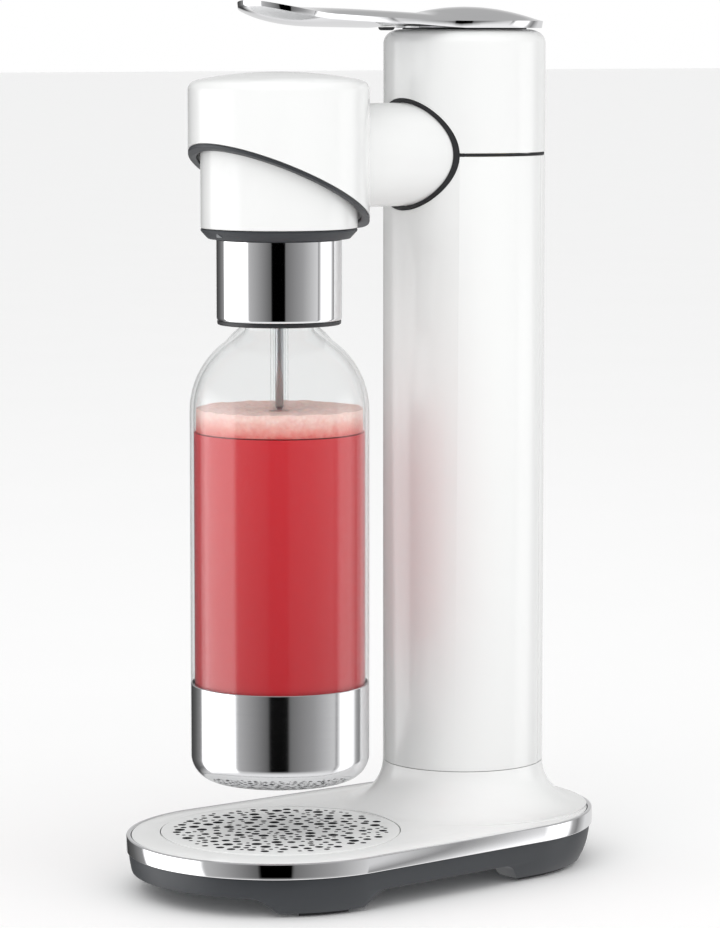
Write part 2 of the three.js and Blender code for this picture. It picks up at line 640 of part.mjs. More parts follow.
/** The white head and its neck, one moulding: a domed shell cut off along a slope. */
function makeHeadShell() {
  const [r, t] = [head.radius, head.wall];
  const low = sweepZ - head.sweepFall * r - 10;
  const dome = thickness => [[0, headTop - thickness], [0.45 * (r - thickness), headTop - 0.8 - thickness],
    [0.8 * (r - thickness), headTop - 3 - thickness], [r - 1.6 - thickness, headShoulder + 2.8 - thickness * 0.8],
    [r - thickness, headShoulder - thickness * 0.4]];
  const shell = cut(turned([...dome(0), [r, low], [0, low]], bottleY),
    turned([...dome(t), [r - t, low - 1], [0, low - 1]], bottleY), belowSweep(0));
  const outside = cut(ovalAlongY(neck.halfWidth, neck.halfHeight, bottleY + 20, columnY),
    ring(headBore, 0, 0, columnTop, bottleY),
    ring(columnBore - neck.endRoom, 0, 0, columnTop, columnY));
  const bore = ovalAlongY(neck.halfWidth - neck.wall, neck.halfHeight - neck.wall, bottleY + 20, columnY);
  const pinSeat = barAlongX(tilt.pinRadius + gap, -pinEnd - gap, pinEnd + gap, pivotY, pivotZ);
  return cut(join(shell, outside), bore, pinSeat);
}

/** The dark trim that closes the swept lower edge of the head. */
function makeHeadTrim() {
  const outer = head.radius - 0.1;
  const wall = ring(outer, outer - trim.width, sleeveBottom - 20, headShoulder, bottleY);
  return cut(wall.intersect(belowSweep(gap)), belowSweep(gap + trim.height));
}

function makeHeadFrame() {
  return ring(headBore - gap, port.radius + gap, framePlateZ, framePlateZ + framePlate.height, bottleY);
}

/** The gas port in the head: it hangs from the frame plate and meets the cap's inlet below. */
function makeInjector() {
  const low = coreTop + port.rise;
  const shelf = framePlateZ + framePlate.height + gap;
  const top = shelf + port.headHeight - gap;
  const body = turned([[0, low], [port.radius, low], [port.radius, shelf], [port.headRadius, shelf],
    [port.headRadius, top], [0, top]], bottleY, 16);
  const bore = barUp(port.bore, 0, bottleY, low - 1, pipeZ);
  const inlet = along(new THREE.LineCurve3(new THREE.Vector3(0, bottleY, pipeZ),
    new THREE.Vector3(0, bottleY + 12, pipeZ)), pipe.radius + gap, 1, 10);
  return cut(body, bore, inlet);
}

const makeInjectorSeal = () => ring(6.5, 2.2, coreTop + 7, coreTop + 9, bottleY, 14);

function makeGasPipe() {
  return along(new THREE.LineCurve3(new THREE.Vector3(0, columnY - block.radius + 6, pipeZ),
    new THREE.Vector3(0, bottleY + 4, pipeZ)), pipe.radius, 1, 10);
}

function makePivotPin(side) {
  const x = [side * (sleeveBore - 2), side * pinEnd].sort((a, b) => a - b);
  return barAlongX(tilt.pinRadius, x[0], x[1], pivotY, pivotZ);
}

/** The tilting sleeve that carries the cap and the bottle. */
function makeSleeve() {
  const r = sleeveRadius;
  const profile = [[sleeveBore, sleeveBottom], [r - 0.5, sleeveBottom], [r, sleeveBottom + 0.8],
    [r, sleeveTop - 1], [r - 1, sleeveTop], [sleeve.opening, sleeveTop], [sleeve.opening, sleeveTop - sleeve.wall],
    [sleeveBore, sleeveTop - sleeve.wall]];
  const pinHoles = barAlongX(tilt.pinRadius + gap, -r - 5, r + 5, pivotY, pivotZ);
  return cut(turned(profile, bottleY), pinHoles);
}

const makeLatchRing = () =>
  ring(sleeveBore - gap, cap.coreRadius + gap + 0.1, coreTop - 3, coreTop - 1, bottleY);

// ---------------------------------------------------------------- cap

/** The dark ring round the cap, with a slot at the back for the release lever. */
function makeCapRing() {
  const r = sleeveRadius;
  const body = turned([[coreWaist + gap, ringBottom], [r - cap.ringTaper, ringBottom], [r, ringTop - 1],
    [r, ringTop], [coreWaist + gap, ringTop]], bottleY);
  const half = loop.width / 2 + 0.4;
  const slot = box(-half, half, bottleY + coreWaist + 2, bottleY + r + 1, ringBottom - 1, ringTop + 1);
  return cut(body, slot, barAlongX(loopPin.radius + gap, -loopPin.half - 0.5, loopPin.half + 0.5, loopPivot.y, loopPivot.z));
}

const makeLoopPin = () => barAlongX(loopPin.radius, -loopPin.half, loopPin.half, loopPivot.y, loopPivot.z, 8);

/** The pull loop that vents the bottle: a round finger loop on a short strap. */
function makeReleaseLever() {
  const rim = new THREE.Shape();
  rim.absarc(loopCentre.y, loopCentre.z, loop.radius, 0, 2 * Math.PI, false);
  const strap = new THREE.Shape();
  strap.moveTo(loopPivot.y, loopPivot.z + loop.hubRadius);
  strap.lineTo(loopCentre.y - 3, loopCentre.z + loop.radius - 1.2);
  strap.lineTo(loopCentre.y - loop.radius + 1, loopCentre.z + 4);
  strap.lineTo(loopPivot.y, loopPivot.z - loop.hubRadius);
  const hole = new THREE.Shape();
  hole.absarc(loopCentre.y, loopCentre.z, loop.radius - loop.wall, 0, 2 * Math.PI, false);
  const half = loop.width / 2;
  const body = join(plateAcross(rim, half, 12), plateAcross(strap, half),
    barAlongX(loop.hubRadius, -half, half, loopPivot.y, loopPivot.z));
  return cut(body, plateAcross(hole, half + 1, 12),
    barAlongX(loopPin.radius + gap, -half - 1, half + 1, loopPivot.y, loopPivot.z));
}

const makeCollar = () =>
  ring(cap.collarRadius, cap.collarRadius - cap.collarWall, collarBottom, collarTop, bottleY);

/** The moulded core of the cap: threaded inside for the bottle, with bores for the tube and two valves. */
function makeCapCore() {
  const ceiling = mouthZ + capCeiling;
  const tubeHole = tube.radius + gap;
  const lip = cap.collarRadius - 0.4;
  const body = turned([[threadBore, lipBottom], [lip - 1, lipBottom], [lip, lipBottom + 0.8], [lip, lipTop],
    [coreWaist, lipTop], [coreWaist, ringTop + gap],
    [cap.coreRadius, ringTop + gap], [cap.coreRadius, coreTop], [tubeHole, coreTop],
    [tubeHole, ceiling], [threadBore, ceiling]], bottleY);
  const valveHoles = [-1, 1].map(side =>
    barUp(capValve.radius + gap, 0, bottleY + side * capValve.place, ceiling, coreTop + 1));
  return cut(body, ...valveHoles);
}

function makeCapValve(side, sides = smallSides) {
  return barUp(capValve.radius, 0, bottleY + side * capValve.place, mouthZ + capCeiling + gap, coreTop + 1, sides);
}

const makeCapSeal = () => ring(bottle.neckRadius, 12, mouthZ + gap, mouthZ + capCeiling - gap, bottleY, 16);
const makeInlet = () => turned([[tube.rodRadius + gap, coreTop + gap], [7, coreTop + gap],
  [6, coreTop + 6.7], [tube.rodRadius + gap, coreTop + 6.7]], bottleY, 14);
const makeCarbonatingTube = () =>
  ring(tube.radius, tube.radius - tube.wall, tubeEnd, coreTop, bottleY, 12);
const makeNozzleRod = () => ring(tube.rodRadius, 0, tubeEnd + 0.5, coreTop + 5, bottleY, smallSides);

// ---------------------------------------------------------------- bottle

/** The bottle's shoulder: an arc from its full width, then a short slope into the neck. */
function shoulderProfile(wide, arc, narrow, top, steps = 5) {
  const centreZ = lipBottom - bottle.shoulderHeight;
  const points = Array.from({ length: steps + 1 }, (_, i) => {
    const turn = i / steps * THREE.MathUtils.degToRad(55);
    return [wide - arc * (1 - Math.cos(turn)), centreZ + arc * Math.sin(turn)];
  });
  return [...points, [narrow + 3.4, top - 3.2], [narrow, top]];
}

function makeBottleShell() {
  const lower = bottle.radius - bottle.cupWall - gap;
  const low = bottleBottom + bottle.cupWall + gap;
  const inner = lower - bottle.wall;
  const outside = [[0, low], [lower - 9, low], [lower - 3, low + 3.2], [lower, low + 10], [lower, cupTop + gap],
    [bottle.radius, cupTop + gap],
    ...shoulderProfile(bottle.radius, bottle.shoulderArc, bottle.neckRadius, lipBottom - 0.5),
    [bottle.neckRadius, mouthZ]];
  const neckBore = bottle.neckRadius - bottle.neckWall;
  const innerArc = bottle.shoulderArc - (bottle.radius - inner);
  const inside = [[neckBore, mouthZ],
    ...shoulderProfile(inner, innerArc, neckBore, lipBottom - 0.5 - bottle.neckWall).reverse(),
    [inner, low + 11], [inner - 3, low + bottle.wall + 3.4], [inner - 8.6, low + bottle.wall], [0, low + bottle.wall]];
  return turned([...outside, ...inside], bottleY);
}

function makeBaseCup() {
  const [r, low, t] = [bottle.radius, bottleBottom, bottle.cupWall];
  return turned([[0, low], [r - 9.5, low], [r - 3, low + 3], [r, low + 9.5], [r, cupTop],
    [r - t, cupTop], [r - t, low + 9.7], [r - 3 - t, low + 3.2 + t], [r - 9.7 - t, low + t], [0, low + t]], bottleY);
}

function makeDrink() {
  const low = bottleBottom + bottle.cupWall + bottle.wall + 2 * gap;
  const r = drinkRadius;
  return turned([[0, low], [r - 9.2, low], [r - 3.4, low + 3.6], [r, low + 9.8],
    [r, frothTop - bottle.froth - gap], [0, frothTop - bottle.froth - gap]], bottleY);
}

const makeFroth = () =>
  ring(drinkRadius - 1, tube.radius + 0.8, frothTop - bottle.froth, frothTop, bottleY);

// ---------------------------------------------------------------- the assembly

const finishes = {
  gloss: [0xf4f4f2, 0.25, 0], dark: [0x4a4f54, 0.5, 0], rubber: [0x1c1c1e, 0.8, 0], chrome: [0xd8d8da, 0.08, 1],
  steel: [0xb8b9bc, 0.2, 1], brass: [0xb89a54, 0.3, 1], paint: [0x8fa3b0, 0.35, 0.4], clear: [0xdfe8ea, 0.05, 0],
  red: [0xc8323a, 0.1, 0], pink: [0xe9a9a6, 0.6, 0], spring: [0x9a9c9f, 0.3, 1],
};

const model = new THREE.Group();

function add(name, body, finish, parent = model) {
  const [color, roughness, metalness] = finishes[finish];
  const mesh = new THREE.Mesh(geometryOf(body), new THREE.MeshStandardMaterial({ color, roughness, metalness }));
  mesh.name = name;
  parent.add(mesh);
}

for (const [end, names] of [['front', ['front_left', 'front_right']], ['rear', ['rear_left', 'rear_right']]]) {
  names.forEach((place, i) => add(`foot_pad_${place}`, makeFootPad(i ? 1 : -1, end), 'rubber'));
}
add('underbase', makeUnderbase(), 'dark');
add('base_trim_band', makeBand(), 'chrome');
add('base_top', makeBaseTop(), 'gloss');
screwPlaces.forEach((place, i) => add(`base_screw_${i + 1}`, makeBaseScrew(place), 'steel'));
add('drip_bowl', makeDripBowl(), 'dark');
add('drip_grille', makeDripGrille(), 'gloss');

add('column_shell', makeColumnShell(), 'gloss');
add('rear_cover', makeRearCover(), 'gloss');
add('upper_column', makeUpperColumn(), 'gloss');
add('column_seam_gasket', makeSeamGasket(), 'rubber');
add('neck_gasket', makeNeckGasket(), 'rubber');
add('column_chassis', makeChassis(), 'steel');
add('cylinder_seat', makeCylinderSeat(), 'dark');
add('gas_cylinder', makeGasCylinder(), 'paint');
add('cylinder_valve', makeCylinderValve(), 'brass');
add('cylinder_valve_pin', makeValvePin(), 'steel');
add('valve_mount_plate', makeMountPlate(), 'steel');
add('valve_block', makeValveBlock(), 'brass');
add('cylinder_seal', makeCylinderSeal(), 'rubber');
valveScrewX.forEach((x, i) => add(`valve_screw_${i + 1}`, makeValveScrew(x), 'steel'));

add('valve_plunger', makePlunger(), 'steel');
add('return_spring', makeReturnSpring(), 'spring');
add('lever_bracket', makeLeverBracket(), 'rubber');
add('lever_hinge_pin', makeLeverPin(), 'steel');
add('lever_actuator', makeActuator(), 'steel');
add('lever', makeLever(), 'chrome');
add('lever_plug', makeLeverPlug(), 'rubber');

add('head_shell', makeHeadShell(), 'gloss');
add('head_trim', makeHeadTrim(), 'dark');
add('head_frame', makeHeadFrame(), 'steel');
add('injector', makeInjector(), 'brass');
add('injector_seal', makeInjectorSeal(), 'rubber');
add('gas_pipe', makeGasPipe(), 'steel');
[['left', -1], ['right', 1]].forEach(([place, side]) => add(`sleeve_pin_${place}`, makePivotPin(side), 'steel'));
add('tilt_sleeve', makeSleeve(), 'gloss');
add('cap_latch_ring', makeLatchRing(), 'steel');

add('cap_ring', makeCapRing(), 'dark');
add('release_lever', makeReleaseLever(), 'dark');
add('release_lever_pin', makeLoopPin(), 'steel');
add('cap_collar', makeCollar(), 'chrome');
add('cap_core', makeCapCore(), 'dark');
add('vent_valve', makeCapValve(1), 'steel');
add('relief_valve', makeCapValve(-1), 'brass');
add('cap_seal', makeCapSeal(), 'rubber');
add('cap_inlet', makeInlet(), 'steel');
add('carbonating_tube', makeCarbonatingTube(), 'clear');
add('nozzle_rod', makeNozzleRod(), 'steel');

add('bottle_shell', makeBottleShell(), 'clear');
add('bottle_base_cup', makeBaseCup(), 'steel');
add('drink', makeDrink(), 'red');
add('drink_froth', makeFroth(), 'pink');

export default model;
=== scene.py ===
# Looks for a manual soda carbonator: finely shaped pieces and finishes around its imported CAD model.
# Metres, +Z up, the bottle side faces -Y. Round pieces are drawn as half outlines and spun.

import random
from contextlib import contextmanager
from math import atan, cos, degrees, hypot, pi, radians, sin, sqrt

import bmesh
import bpy
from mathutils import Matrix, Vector


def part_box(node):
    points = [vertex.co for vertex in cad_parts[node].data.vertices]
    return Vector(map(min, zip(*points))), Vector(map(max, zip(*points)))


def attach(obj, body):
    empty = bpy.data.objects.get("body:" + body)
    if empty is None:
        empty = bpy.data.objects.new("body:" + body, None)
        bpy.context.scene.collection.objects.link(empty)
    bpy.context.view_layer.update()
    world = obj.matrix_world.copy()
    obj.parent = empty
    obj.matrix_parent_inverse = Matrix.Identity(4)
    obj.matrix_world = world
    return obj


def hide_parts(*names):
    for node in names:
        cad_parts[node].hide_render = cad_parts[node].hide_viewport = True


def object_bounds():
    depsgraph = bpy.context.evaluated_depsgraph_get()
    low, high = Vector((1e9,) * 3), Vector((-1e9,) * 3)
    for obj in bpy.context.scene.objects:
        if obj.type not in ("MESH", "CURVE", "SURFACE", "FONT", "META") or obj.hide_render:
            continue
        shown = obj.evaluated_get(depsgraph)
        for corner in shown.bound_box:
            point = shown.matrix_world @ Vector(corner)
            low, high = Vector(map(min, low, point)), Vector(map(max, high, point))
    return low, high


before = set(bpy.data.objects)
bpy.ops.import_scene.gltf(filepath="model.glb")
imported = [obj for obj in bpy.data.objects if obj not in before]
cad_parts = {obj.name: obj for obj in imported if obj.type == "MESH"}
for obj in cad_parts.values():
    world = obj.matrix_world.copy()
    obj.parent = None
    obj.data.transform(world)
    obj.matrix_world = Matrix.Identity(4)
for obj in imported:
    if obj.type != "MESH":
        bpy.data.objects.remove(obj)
cad_low, cad_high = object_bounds()

# -------------------- sizes and places

MM = 0.001
STEPS = 128                      # sides of a large round piece
FINE = 48                        # sides of a small round piece

bottle_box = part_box("bottle_shell")
column_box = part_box("upper_column")
bottle_y = (bottle_box[0].y + bottle_box[1].y) / 2
column_y = (column_box[0].y + column_box[1].y) / 2
middle_y = (cad_low.y + cad_high.y) / 2


def radius_of(node):
    """Half the width of a CAD node across X."""
    low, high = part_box(node)
    return (high.x - low.x) / 2


def middle_of(node):
    low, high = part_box(node)
    return (low + high) / 2


column_radius = radius_of("upper_column")
head_radius = radius_of("head_shell")
sleeve_radius = radius_of("tilt_sleeve")
bottle_radius = radius_of("bottle_shell")
neck_z = middle_of("neck_gasket").z
neck_half_width = 26 * MM
neck_half_height = 24.5 * MM
wall = 2.6 * MM
thin_wall = 2.5 * MM             # of the head and the sleeve
play = 0.3 * MM                  # gap between pieces that touch
gasket_reach = 1.9 * MM          # how far the neck's gasket stands out round the neck
deck_radius = 30.2 * MM          # the flat top of the column, inside its shoulder
shoulder_drop = 7.2 * MM
arch_top = 9.2 * MM              # underside of the tray between the feet
bottle_neck, neck_wall = 17.9 * MM, 1.9 * MM
neck_in_cap, shoulder_height, shoulder_arc = 27.4 * MM, 40.5 * MM, 40 * MM
trim_slope = 0.4684              # how steeply the head's lower edge falls towards the back
trim_z = neck_z - 12.5 * MM      # that edge's height at the bottle's axis

# -------------------- modelling


def select_only(*pieces):
    bpy.ops.object.select_all(action="DESELECT")
    for piece in pieces:
        piece.select_set(True)
    bpy.context.view_layer.objects.active = pieces[0]


def settle():
    """Puts the selected object's place, turn and scale into its mesh, so that it sits at the origin."""
    bpy.ops.object.transform_apply(location=True, rotation=True, scale=True)


def added(primitive, **where):
    """The new object that a primitive operator makes, with nothing else selected."""
    bpy.ops.object.select_all(action="DESELECT")
    primitive(**where)
    return bpy.context.active_object


def linked(name, data):
    """A new object for a mesh, a light or a camera, put in the scene."""
    made = bpy.data.objects.new(name, data)
    bpy.context.scene.collection.objects.link(made)
    return made


@contextmanager
def editing(piece, pick="VERT"):
    select_only(piece)
    bpy.ops.object.mode_set(mode="EDIT")
    bpy.ops.mesh.select_mode(type=pick)
    yield bmesh.from_edit_mesh(piece.data)
    bpy.ops.object.mode_set(mode="OBJECT")


def choose_all():
    bpy.ops.mesh.select_all(action="SELECT")


def pulled(*offset):
    """Extrudes the selected faces, edges or points by an offset."""
    bpy.ops.mesh.extrude_region_move(TRANSFORM_OT_translate={"value": offset})


def choose(piece, kind, test):
    """Selects the vertices, edges or faces that pass a test of their place, and nothing else."""
    mesh = bmesh.from_edit_mesh(piece.data)
    bpy.ops.mesh.select_all(action="DESELECT")
    for element in getattr(mesh, kind):
        element.select_set(test(element))
    mesh.select_flush(True)
    bmesh.update_edit_mesh(piece.data)


def modified(piece, kind, **settings):
    """Adds a modifier, sets it and applies it."""
    select_only(piece)
    modifier = piece.modifiers.new(kind.title(), kind)
    for name, value in settings.items():
        setattr(modifier, name, value)
    bpy.ops.object.modifier_apply(modifier=modifier.name)
    return piece


def rounded(piece, width, segments=3, angle=35):
    return modified(piece, "BEVEL", width=width, segments=segments, limit_method="ANGLE",
                    angle_limit=radians(angle), miter_outer="MITER_ARC")


def boolean(piece, tool, operation):
    modified(piece, "BOOLEAN", object=tool, operation=operation, solver="EXACT")
    bpy.data.objects.remove(tool)
    return piece


def cut(piece, *tools):
    for tool in tools:
        boolean(piece, tool, "DIFFERENCE")
    return piece


def clean(piece):
    with editing(piece):
        choose_all()
        bpy.ops.mesh.remove_doubles(threshold=1e-6)
        bpy.ops.mesh.normals_make_consistent(inside=False)
    return piece


def spun(outline, axis_y, steps=STEPS, start=0.0, turn=360.0):
    """A half outline of (radius, height), drawn point by point and spun about an upright axis at axis_y.
    A partial turn starts at an angle in degrees from +X and is closed at both ends."""
    ray = Vector((cos(radians(start)), sin(radians(start)), 0))

    def at(point):
        return ray * point[0] + Vector((0, axis_y, point[1]))

    piece = added(bpy.ops.mesh.primitive_plane_add, size=MM, location=at(outline[0]))
    with editing(piece):
        bpy.ops.mesh.merge(type="CENTER")
        for here, there in zip(outline, outline[1:]):
            pulled(*(at(there) - at(here)))
        choose_all()
        closed = min(outline[0][0], outline[-1][0]) > 1e-7
        if turn < 360:
            bpy.ops.mesh.edge_face_add()
        elif closed:
            choose(piece, "verts", lambda v: len(v.link_edges) == 1)
            bpy.ops.mesh.edge_face_add()
        choose_all()
        bpy.ops.mesh.spin(steps=steps, angle=-radians(turn), center=(0, axis_y, 0), axis=(0, 0, 1))
    select_only(piece)
    settle()
    return clean(piece)


def tube(inner, outer, low, high, axis_y, *spin):
    """A plain tube between two heights."""
    return spun([(inner, low), (outer, low), (outer, high), (inner, high)], axis_y, *spin)


def rod(radius, start, length, direction="Z", sides=FINE):
    """A closed round bar from a start point along an axis."""
    turns = {"X": (0, pi / 2, 0), "Y": (-pi / 2, 0, 0), "Z": (0, 0, 0)}
    way = Vector([direction == "X", direction == "Y", direction == "Z"])
    piece = added(bpy.ops.mesh.primitive_cylinder_add, vertices=sides, radius=radius, depth=length,
                  location=Vector(start) + way * (length / 2), rotation=turns[direction])
    settle()
    return piece


def block(low, high):
    low, high = Vector(low), Vector(high)
    piece = added(bpy.ops.mesh.primitive_cube_add, size=1, location=(low + high) / 2)
    piece.scale = high - low
    settle()
    return piece


def arc(centre, radius, start, stop, count):
    """Points on an arc of a half outline, with angles in degrees from the outward direction."""
    turns = [radians(start + (stop - start) * i / count) for i in range(count + 1)]
    return [(centre[0] + radius * cos(t), centre[1] + radius * sin(t)) for t in turns]


def done(piece, name, body, material, replaced=(), angle=35):
    """Names a finished piece, smooths it, gives it its finish and fixes it to its body."""
    piece.name = name
    piece.data.name = name
    piece.data.materials.clear()
    piece.data.materials.append(material)
    select_only(piece)
    settle()
    bpy.ops.object.shade_smooth_by_angle(angle=radians(angle))
    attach(piece, body)
    if replaced:
        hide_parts(*replaced)
    return piece


# -------------------- shader maths


class Value:
    """A socket of a material, with the arithmetic that adds its Math nodes."""

    def __init__(self, finish, socket):
        self.finish = finish
        self.socket = socket

    def math(self, operation, *others):
        values = dict(enumerate((self, *others)))
        return self.finish.node("ShaderNodeMath", {"operation": operation}, values)

    def __add__(self, other):
        return self.math("ADD", other)

    def __sub__(self, other):
        return self.math("SUBTRACT", other)

    def __rsub__(self, other):
        return self.finish.node("ShaderNodeMath", {"operation": "SUBTRACT"}, {0: other, 1: self})

    def __mul__(self, other):
        return self.math("MULTIPLY", other)

    def __truediv__(self, other):
        return self.math("DIVIDE", other)

    __radd__ = __add__
    __rmul__ = __mul__


class Finish:
    """A material or the world, built by expressions. Fixed values go straight on the shader's own sockets."""

    def __init__(self, name, **fixed):
        self.material = bpy.data.materials.new(name)
        self.material.use_nodes = True
        self.tree = self.material.node_tree
        self.shader = self.tree.nodes["Principled BSDF"]
        for socket, value in fixed.items():
            self.shader.inputs[socket.replace("_", " ").title().replace("Ior", "IOR")].default_value = value

    def node(self, kind, settings=None, inputs=None, output=0):
        """Any node, by its type, its settings, and the values or links of its sockets."""
        made = self.tree.nodes.new(kind)
        for name, value in (settings or {}).items():
            if name == "stops":
                self.set_stops(made.color_ramp, value)
            else:
                setattr(made, name, value)
        for name, value in (inputs or {}).items():
            self.feed(made.inputs[name], value)
        return Value(self, made.outputs[output])

    def set_stops(self, ramp, stops):
        """Gives a ramp its stops, each a place and a grey level or a colour."""
        ramp.elements.remove(ramp.elements[1])
        ramp.elements[0].position = stops[0][0]
        for position, _ in stops[1:]:
            ramp.elements.new(position)
        for element, (_, tone) in zip(ramp.elements, stops):
            element.color = (*tone, 1) if isinstance(tone, tuple) else (tone, tone, tone, 1)

    def feed(self, socket, value):
        if isinstance(value, Value):
            self.tree.links.new(value.socket, socket)
        else:
            socket.default_value = value

    def set(self, **varying):
        for socket, value in varying.items():
            self.feed(self.shader.inputs[socket.replace("_", " ").title()], value)
        return self

    def place(self, stretch=(1, 1, 1)):
        """The surface's own coordinates, in metres, stretched for a pattern with a direction."""
        spot = self.node("ShaderNodeTexCoord", output="Object")
        if stretch == (1, 1, 1):
            return spot
        return self.node("ShaderNodeMapping", {}, {"Vector": spot, "Scale": stretch})

    def noise(self, per_metre, detail=2.0, stretch=(1, 1, 1)):
        return self.node("ShaderNodeTexNoise", {},
                         {"Vector": self.place(stretch), "Scale": per_metre, "Detail": detail})

    def cells(self, per_metre):
        return self.node("ShaderNodeTexVoronoi", {}, {"Vector": self.place(), "Scale": per_metre}, "Distance")

    def height(self):
        return self.node("ShaderNodeSeparateXYZ", {}, {0: self.place()}, "Z")

    def between(self, amount, first, second):
        """A colour mixed from two others; a Mix node's colour sockets are its seventh, eighth and third."""
        return self.node("ShaderNodeMix", {"data_type": "RGBA"}, {0: amount, 6: first, 7: second}, 2)

    def relief(self, height, strength, distance=0.0002):
        return self.node("ShaderNodeBump", {}, {"Height": height, "Strength": strength, "Distance": distance})


def shade(r, g=None, b=None):
    return (r, r if g is None else g, r if b is None else b, 1)


# -------------------- finishes


def make_white_gloss():
    f = Finish("white_gloss", roughness=0.2, coat_weight=0.25, coat_roughness=0.05)
    clouds = f.noise(14)
    f.set(base_color=f.between(clouds, shade(0.8, 0.805, 0.8), shade(0.835, 0.84, 0.835)),
          roughness=0.19 + 0.07 * f.noise(90),
          normal=f.relief(f.noise(420), 0.035))
    return f.material


def make_moulded(name, grains, depth, least, spread, clouds, dark, light):
    """A dull moulded surface: fine grain in its relief and roughness, and faint clouds in its colour."""
    f = Finish(name, roughness=least)
    grain = f.noise(grains, 3)
    f.set(base_color=f.between(f.noise(clouds), dark, light),
          roughness=least + spread * grain,
          normal=f.relief(grain, depth))
    return f.material


def make_slate(name, dark, light):
    return make_moulded(name, 2600, 0.12, 0.38, 0.14, 40, dark, light)


def make_rubber():
    dark, light = shade(0.012, 0.012, 0.014), shade(0.024, 0.024, 0.027)
    return make_moulded("black_rubber", 3200, 0.2, 0.6, 0.2, 60, dark, light)


def make_black_plastic():
    f = Finish("black_plastic", roughness=0.4)
    grain = f.noise(2800, 3)
    f.set(base_color=f.between(grain, shade(0.014, 0.014, 0.016), shade(0.024, 0.024, 0.027)),
          roughness=0.32 + 0.16 * f.noise(120),
          normal=f.relief(grain, 0.08))
    return f.material


def make_chrome():
    f = Finish("polished_chrome", metallic=1.0)
    smudge = f.noise(30, 4)
    f.set(base_color=f.between(smudge, shade(0.84, 0.84, 0.86), shade(0.9, 0.9, 0.91)),
          roughness=0.02 + 0.05 * smudge,
          normal=f.relief(f.noise(160), 0.01))
    return f.material


def make_brushed_steel():
    f = Finish("brushed_steel", metallic=1.0)
    strokes = f.noise(1, 4, stretch=(30, 30, 5200))
    f.set(base_color=f.between(strokes, shade(0.74, 0.74, 0.76), shade(0.84, 0.84, 0.85)),
          roughness=0.07 + 0.09 * strokes,
          normal=f.relief(strokes, 0.025, 0.00005))
    return f.material


def make_plain_steel():
    f = Finish("plain_steel", metallic=1.0)
    marks = f.noise(400, 4)
    f.set(base_color=f.between(f.noise(50), shade(0.5, 0.5, 0.52), shade(0.6, 0.6, 0.62)),
          roughness=0.24 + 0.14 * marks,
          normal=f.relief(marks, 0.05))
    return f.material


def make_brass():
    f = Finish("brass", metallic=1.0)
    turning = f.noise(1, 3, stretch=(60, 60, 6000))
    f.set(base_color=f.between(f.noise(80), shade(0.62, 0.44, 0.19), shade(0.72, 0.54, 0.27)),
          roughness=0.2 + 0.15 * turning,
          normal=f.relief(turning, 0.05))
    return f.material


def make_cylinder_paint():
    f = Finish("cylinder_paint", metallic=0.6, coat_weight=0.4, coat_roughness=0.15)
    flakes = f.noise(3000, 2)
    f.set(base_color=f.between(flakes, shade(0.4, 0.43, 0.47), shade(0.52, 0.55, 0.59)),
          roughness=0.3 + 0.1 * f.noise(200),
          normal=f.relief(f.noise(500), 0.04))
    return f.material


def make_clear_plastic():
    """Thin clear walls: seen through when faced, glossier and a little grey where they turn away."""
    f = Finish("clear_plastic", roughness=0.03, specular_ior_level=0.5)
    f.set(base_color=f.between(f.noise(60), shade(0.62, 0.65, 0.67), shade(0.7, 0.73, 0.75)),
          roughness=0.02 + 0.05 * f.noise(140))
    turned_away = f.node("ShaderNodeLayerWeight", {}, {"Blend": 0.5}, "Facing").math("POWER", 5.0)
    clear = f.node("ShaderNodeBsdfTransparent", {}, {"Color": shade(0.985, 0.99, 0.99)})
    gloss = f.node("ShaderNodeBsdfGlossy", {}, {"Color": shade(1.0), "Roughness": 0.02})
    body = f.node("ShaderNodeMixShader", {}, {0: 0.12, 1: gloss, 2: Value(f, f.shader.outputs[0])})
    shown = 0.035 + 0.9 * turned_away
    through = f.node("ShaderNodeMixShader", {}, {0: shown, 1: clear, 2: body})
    f.feed(f.tree.nodes["Material Output"].inputs["Surface"], through)
    return f.material


def make_drink():
    """Red fruit soda, with painted shade: darker towards the bottom and lighter towards the top, with fine
    bubbles all through it.
    """
    f = Finish("drink", roughness=0.35, specular_ior_level=0.2, subsurface_weight=0.15,
               subsurface_scale=0.004)
    low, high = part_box("drink")
    rise = (f.height() - low.z) / (high.z - low.z)
    bubbles = f.node("ShaderNodeValToRGB", {"stops": [(0.0, 1.0), (0.28, 0.0)]}, {"Fac": f.cells(900)})
    mist = f.noise(1400, 3)
    # Painted shade: the red is blended by height, darker towards the bottom of the drink.
    body = f.between(rise, shade(0.42, 0.009, 0.018), shade(0.58, 0.018, 0.03))
    speckled = f.between(0.14 * bubbles * mist, body, shade(1.0, 0.42, 0.36))
    f.set(base_color=f.between(0.15 * mist, speckled, shade(0.75, 0.07, 0.06)),
          roughness=0.3 + 0.2 * mist)
    return f.material


def make_froth():
    f = Finish("froth", roughness=0.5, subsurface_weight=0.2, subsurface_scale=0.003)
    low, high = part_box("drink_froth")
    rise = (f.height() - low.z) / (high.z - low.z)
    cells = f.cells(520)
    ragged = rise + 0.5 * f.noise(260, 3) - 0.25
    ramp = f.node("ShaderNodeValToRGB",
                  {"stops": [(0.0, (0.72, 0.1, 0.09)), (0.35, (0.82, 0.36, 0.31)), (0.8, (0.93, 0.7, 0.64))]},
                  {"Fac": ragged})
    f.set(base_color=f.between(0.35 * cells, ramp, shade(0.75, 0.3, 0.26)),
          normal=f.relief(cells, 0.5, 0.0006))
    return f.material


def make_floor():
    f = Finish("pale_floor", roughness=0.6)
    f.set(base_color=f.between(f.noise(6), shade(0.97), shade(0.985)))
    return f.material


